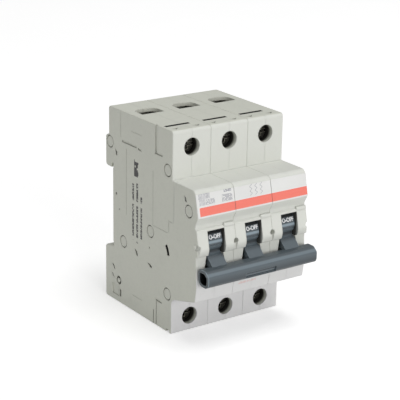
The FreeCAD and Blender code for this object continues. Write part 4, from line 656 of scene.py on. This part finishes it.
def drawn_out_bar():
    """The bar's section with its rounded corners, drawn out from side to side."""
    front, rear, low, high = BAR_LOW.y, BAR_HIGH.y, BAR_LOW.z, BAR_HIGH.z
    # Depth, height and how far the rounding reaches from the corner
    corners = [
        (front, low, 2.2 * MM),
        (rear, low, 2.8 * MM),
        (rear, high, 1.3 * MM),
        (front + BAR_SLOPE_DEPTH, high, 0.45 * MM),
        (front, high - BAR_SLOPE, 0.6 * MM),
    ]
    shape = bmesh.new()
    section = [shape.verts.new((BAR_LOW.x, deep, up)) for deep, up, _ in corners]
    grown = bmesh.ops.extrude_face_region(shape, geom=[shape.faces.new(section)])["geom"]
    moved = [part for part in grown if isinstance(part, bmesh.types.BMVert)]
    bmesh.ops.translate(shape, verts=moved, vec=(BAR_HIGH.x - BAR_LOW.x, 0, 0))
    bmesh.ops.recalc_face_normals(shape, faces=shape.faces)
    for deep, up, reach in corners:
        corner = Vector((deep, up))
        edges = [
            edge for edge in shape.edges
            if all((vert.co.yz - corner).length < 0.01 * MM for vert in edge.verts)
        ]
        bmesh.ops.bevel(
            shape, geom=edges, offset=reach, segments=8, profile=0.5, affect="EDGES", material=-1
        )
    return shape


def tie_bar():
    """The bar with its hollow ends and the recess low on its front."""
    shape = drawn_out_bar()
    shape.normal_update()
    for side in (-1, 1):
        ends = [face for face in shape.faces if face.normal.x * side > 0.9]
        bmesh.ops.inset_region(shape, faces=ends, thickness=BAR_WALL, use_even_offset=True)
        bmesh.ops.inset_region(
            shape, faces=ends, thickness=0.1 * MM, depth=-BAR_HOLLOW, use_even_offset=True
        )
    cuts = [
        ((GRIP_LEFT, 0, 0), (1, 0, 0)),
        ((GRIP_RIGHT, 0, 0), (1, 0, 0)),
        ((0, 0, GRIP_LOW), (0, 0, 1)),
        ((0, 0, GRIP_HIGH), (0, 0, 1)),
    ]
    for place, facing in cuts:
        shape.normal_update()
        front = [face for face in shape.faces if face.normal.y < -0.1]
        parts = dict.fromkeys(part for face in front for part in (*face.verts, *face.edges, face))
        bmesh.ops.bisect_plane(shape, geom=list(parts), plane_co=place, plane_no=facing)
    shape.normal_update()
    grip = []
    for face in shape.faces:
        centre = face.calc_center_median()
        inside = GRIP_LEFT < centre.x < GRIP_RIGHT and GRIP_LOW < centre.z < GRIP_HIGH
        if face.normal.y < -0.1 and inside:
            grip.append(face)
    bmesh.ops.inset_region(
        shape, faces=grip, thickness=0.05 * MM, depth=-GRIP_DEPTH, use_even_offset=True
    )
    return shape


bar = make_object("tie_bar", tie_bar(), FINISHES["handle_bar"])
bar.data.shade_smooth()
bar.data.set_sharp_from_angle(angle=math.radians(30))
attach(bar, "handle")
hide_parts("handle_bar")


# Lettering on the toggles

DRUM_RADIUS = 7.4 * MM
HANDLE_TRAVEL = math.radians(68.0)
LETTER_ANGLE = math.radians(22.6)
LETTER_HEIGHT = 1.85 * MM
OFF_WIDTH, ON_WIDTH = 5.7 * MM, 4.6 * MM
LETTER_BOLD = 0.045
LETTER_THICK = 0.04 * MM
LETTER_SINK = 0.02 * MM
LETTER_SHIFT = 0.3 * MM
SLICES = 8


def letter_paint():
    """White paint, rubbed thin in places."""
    finish = Finish("letter_paint")
    wear = finish.noise(1200.0, 3.0)
    tone = finish.blend(wear.ramp(0.35, 0.6), (0.74, 0.75, 0.76), (0.90, 0.91, 0.91))
    finish.surface(base_color=tone, roughness=wear * 0.15 + 0.4)
    return finish.material


def flat_letters(words):
    """The words as a flat mesh, a unit wide and a unit high, about the origin."""
    curve = bpy.data.curves.new("letters", "FONT")
    curve.body = words
    curve.offset = LETTER_BOLD
    holder = bpy.data.objects.new("letters", curve)
    bpy.context.scene.collection.objects.link(holder)
    bpy.context.view_layer.update()
    drawn = holder.evaluated_get(bpy.context.evaluated_depsgraph_get())
    mesh = bpy.data.meshes.new_from_object(drawn)
    bpy.data.objects.remove(holder)
    shape = bmesh.new()
    shape.from_mesh(mesh)
    bpy.data.meshes.remove(mesh)
    bmesh.ops.remove_doubles(shape, verts=shape.verts, dist=0.0001)
    low = Vector(min(vert.co[axis] for vert in shape.verts) for axis in range(2))
    high = Vector(max(vert.co[axis] for vert in shape.verts) for axis in range(2))
    size = high - low
    bmesh.ops.translate(shape, verts=shape.verts, vec=(-(low + size / 2)).to_3d())
    bmesh.ops.scale(shape, verts=shape.verts, vec=(1 / size.x, 1 / size.y, 1))
    return shape


def wrap_on_drum(shape, place, width, angle):
    """Lays flat letters on the drum, with their middle at this angle over level."""
    for cut in range(1, SLICES):
        bmesh.ops.bisect_plane(
            shape,
            geom=shape.verts[:] + shape.edges[:] + shape.faces[:],
            plane_co=(0, cut / SLICES - 0.5, 0),
            plane_no=(0, 1, 0),
        )
    radius = DRUM_RADIUS - LETTER_SINK
    for vert in shape.verts:
        turn = angle + vert.co.y * LETTER_HEIGHT / DRUM_RADIUS
        side = place + vert.co.x * width
        vert.co = (side, PIVOT.y - radius * math.cos(turn), PIVOT.z + radius * math.sin(turn))
    bmesh.ops.recalc_face_normals(shape, faces=shape.faces)
    out = Vector((0, -math.cos(angle), math.sin(angle)))
    first = next(iter(shape.faces))
    sign = 1 if first.normal.dot(out) > 0 else -1
    bmesh.ops.solidify(shape, geom=shape.faces[:], thickness=-sign * (LETTER_SINK + LETTER_THICK))
    bmesh.ops.recalc_face_normals(shape, faces=shape.faces)
    return shape


LETTERS = letter_paint()
for pole, place in POLE_PLACES.items():
    off = wrap_on_drum(flat_letters("O-OFF"), place + LETTER_SHIFT, OFF_WIDTH, LETTER_ANGLE)
    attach(make_object(f"off_letters_{pole}", off, LETTERS), "handle")
    on_angle = -LETTER_ANGLE - HANDLE_TRAVEL
    on = wrap_on_drum(flat_letters("I-ON"), place, ON_WIDTH, on_angle)
    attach(make_object(f"on_letters_{pole}", on, LETTERS), "handle")


# Floor, light and camera

AMBIENT = 0.40
LAMP_DISTANCE, LAMP_SIZE, LAMP_POWER = 3.0, 1.5, 36.0
CASE_MIDDLE = (CASE_LOW + CASE_HIGH) / 2
FLOOR_HALF = 6.0
FLOOR_WHITE = 0.80
# The floor's own light near the object and far off, and where one passes into the other, in metres
NEAR_GLOW, FAR_GLOW = 0.40, 0.68
GLOW_NEAR, GLOW_FAR = 0.7, 4.0
CAMERA_PLACE = (-0.3005637, -0.4499247, 0.1790062)
CAMERA_AZIMUTH = -35.2585
CAMERA_ELEVATION = 18.5386
CAMERA_ROLL = 0.9879
CAMERA_LENS = 120.315


def floor_finish():
    """Pale floor that shows as white to the camera but keeps the shadow of the object."""
    finish = Finish("pale_floor")
    grain = finish.noise(30.0, 3.0)
    dull = (FLOOR_WHITE - 0.01,) * 3
    pale = (FLOOR_WHITE + 0.01,) * 3
    finish.surface(base_color=finish.blend(grain, dull, pale), roughness=0.9)
    path = finish.node("ShaderNodeLightPath").socket.node
    seen = Wire(finish, path.outputs["Is Camera Ray"]).either(
        Wire(finish, path.outputs["Is Glossy Ray"])
    )
    dark, near, far = [
        finish.node("ShaderNodeEmission", {}, {"Color": (1.0, 1.0, 1.0), "Strength": strength})
        for strength in (0.0, NEAR_GLOW, FAR_GLOW)
    ]
    across, deep, _ = finish.axes()
    away = (across * across + deep * deep).ramp(GLOW_NEAR ** 2, GLOW_FAR ** 2)
    lit = finish.node("ShaderNodeMixShader", {}, {0: away, 1: near, 2: far})
    glow = finish.node("ShaderNodeMixShader", {}, {0: seen, 1: dark, 2: lit})
    plain = Wire(finish, finish.shader.outputs[0])
    total = finish.node("ShaderNodeAddShader", {}, {0: plain, 1: glow})
    finish.feed(finish.tree.nodes["Material Output"].inputs["Surface"], total)
    return finish.material


def make_floor():
    """A flat floor under the case's feet."""
    shape = bmesh.new()
    bmesh.ops.create_grid(shape, x_segments=1, y_segments=1, size=FLOOR_HALF)
    bmesh.ops.translate(shape, verts=shape.verts, vec=(0, 0, CASE_LOW.z))
    make_object("floor", shape, floor_finish())


def make_world():
    """Soft light from all round, and white where the camera sees past the floor."""
    world = bpy.data.worlds.new("studio")
    world.use_nodes = True
    tree = world.node_tree
    tree.nodes.clear()
    mix = tree.nodes.new("ShaderNodeMixShader")
    for socket, strength in ((1, AMBIENT), (2, 1.0)):
        light = tree.nodes.new("ShaderNodeBackground")
        light.inputs["Color"].default_value = (1.0, 1.0, 1.0, 1.0)
        light.inputs["Strength"].default_value = strength
        tree.links.new(light.outputs[0], mix.inputs[socket])
    path = tree.nodes.new("ShaderNodeLightPath")
    tree.links.new(path.outputs["Is Camera Ray"], mix.inputs[0])
    out = tree.nodes.new("ShaderNodeOutputWorld")
    tree.links.new(mix.outputs[0], out.inputs["Surface"])
    bpy.context.scene.world = world


def soft_box(name, direction):
    """A square lamp in this direction from the object, which it faces."""
    lamp = bpy.data.lights.new(name, "AREA")
    lamp.size = LAMP_SIZE
    lamp.energy = LAMP_POWER
    holder = bpy.data.objects.new(name, lamp)
    towards = Vector(direction).normalized()
    holder.location = CASE_MIDDLE + towards * LAMP_DISTANCE
    holder.rotation_euler = towards.to_track_quat("Z", "Y").to_euler()
    bpy.context.scene.collection.objects.link(holder)


def make_camera():
    """The camera at the photograph's viewing angle. Azimuth 0 looks along +Y."""
    azimuth = math.radians(CAMERA_AZIMUTH)
    elevation = math.radians(CAMERA_ELEVATION)
    roll = math.radians(CAMERA_ROLL)
    right = Vector((math.cos(azimuth), math.sin(azimuth), 0))
    ahead = Vector((
        -math.sin(azimuth) * math.cos(elevation),
        math.cos(azimuth) * math.cos(elevation),
        -math.sin(elevation),
    ))
    up = right.cross(ahead)
    side = right * math.cos(roll) + up * math.sin(roll)
    top = up * math.cos(roll) - right * math.sin(roll)
    turn = Matrix((side, top, -ahead)).transposed().to_4x4()
    lens = bpy.data.cameras.new("camera")
    lens.lens = CAMERA_LENS
    lens.sensor_width = 36.0
    lens.clip_start = 0.01
    lens.clip_end = 50.0
    camera = bpy.data.objects.new("camera", lens)
    camera.matrix_world = Matrix.Translation(CAMERA_PLACE) @ turn
    bpy.context.scene.collection.objects.link(camera)
    bpy.context.scene.camera = camera


make_floor()
make_world()
soft_box("front_lamp", (-0.12, -0.97, 0.2))
soft_box("top_lamp", (0.1, -0.25, 0.95))
make_camera()
bpy.context.scene.view_settings.view_transform = "Standard"
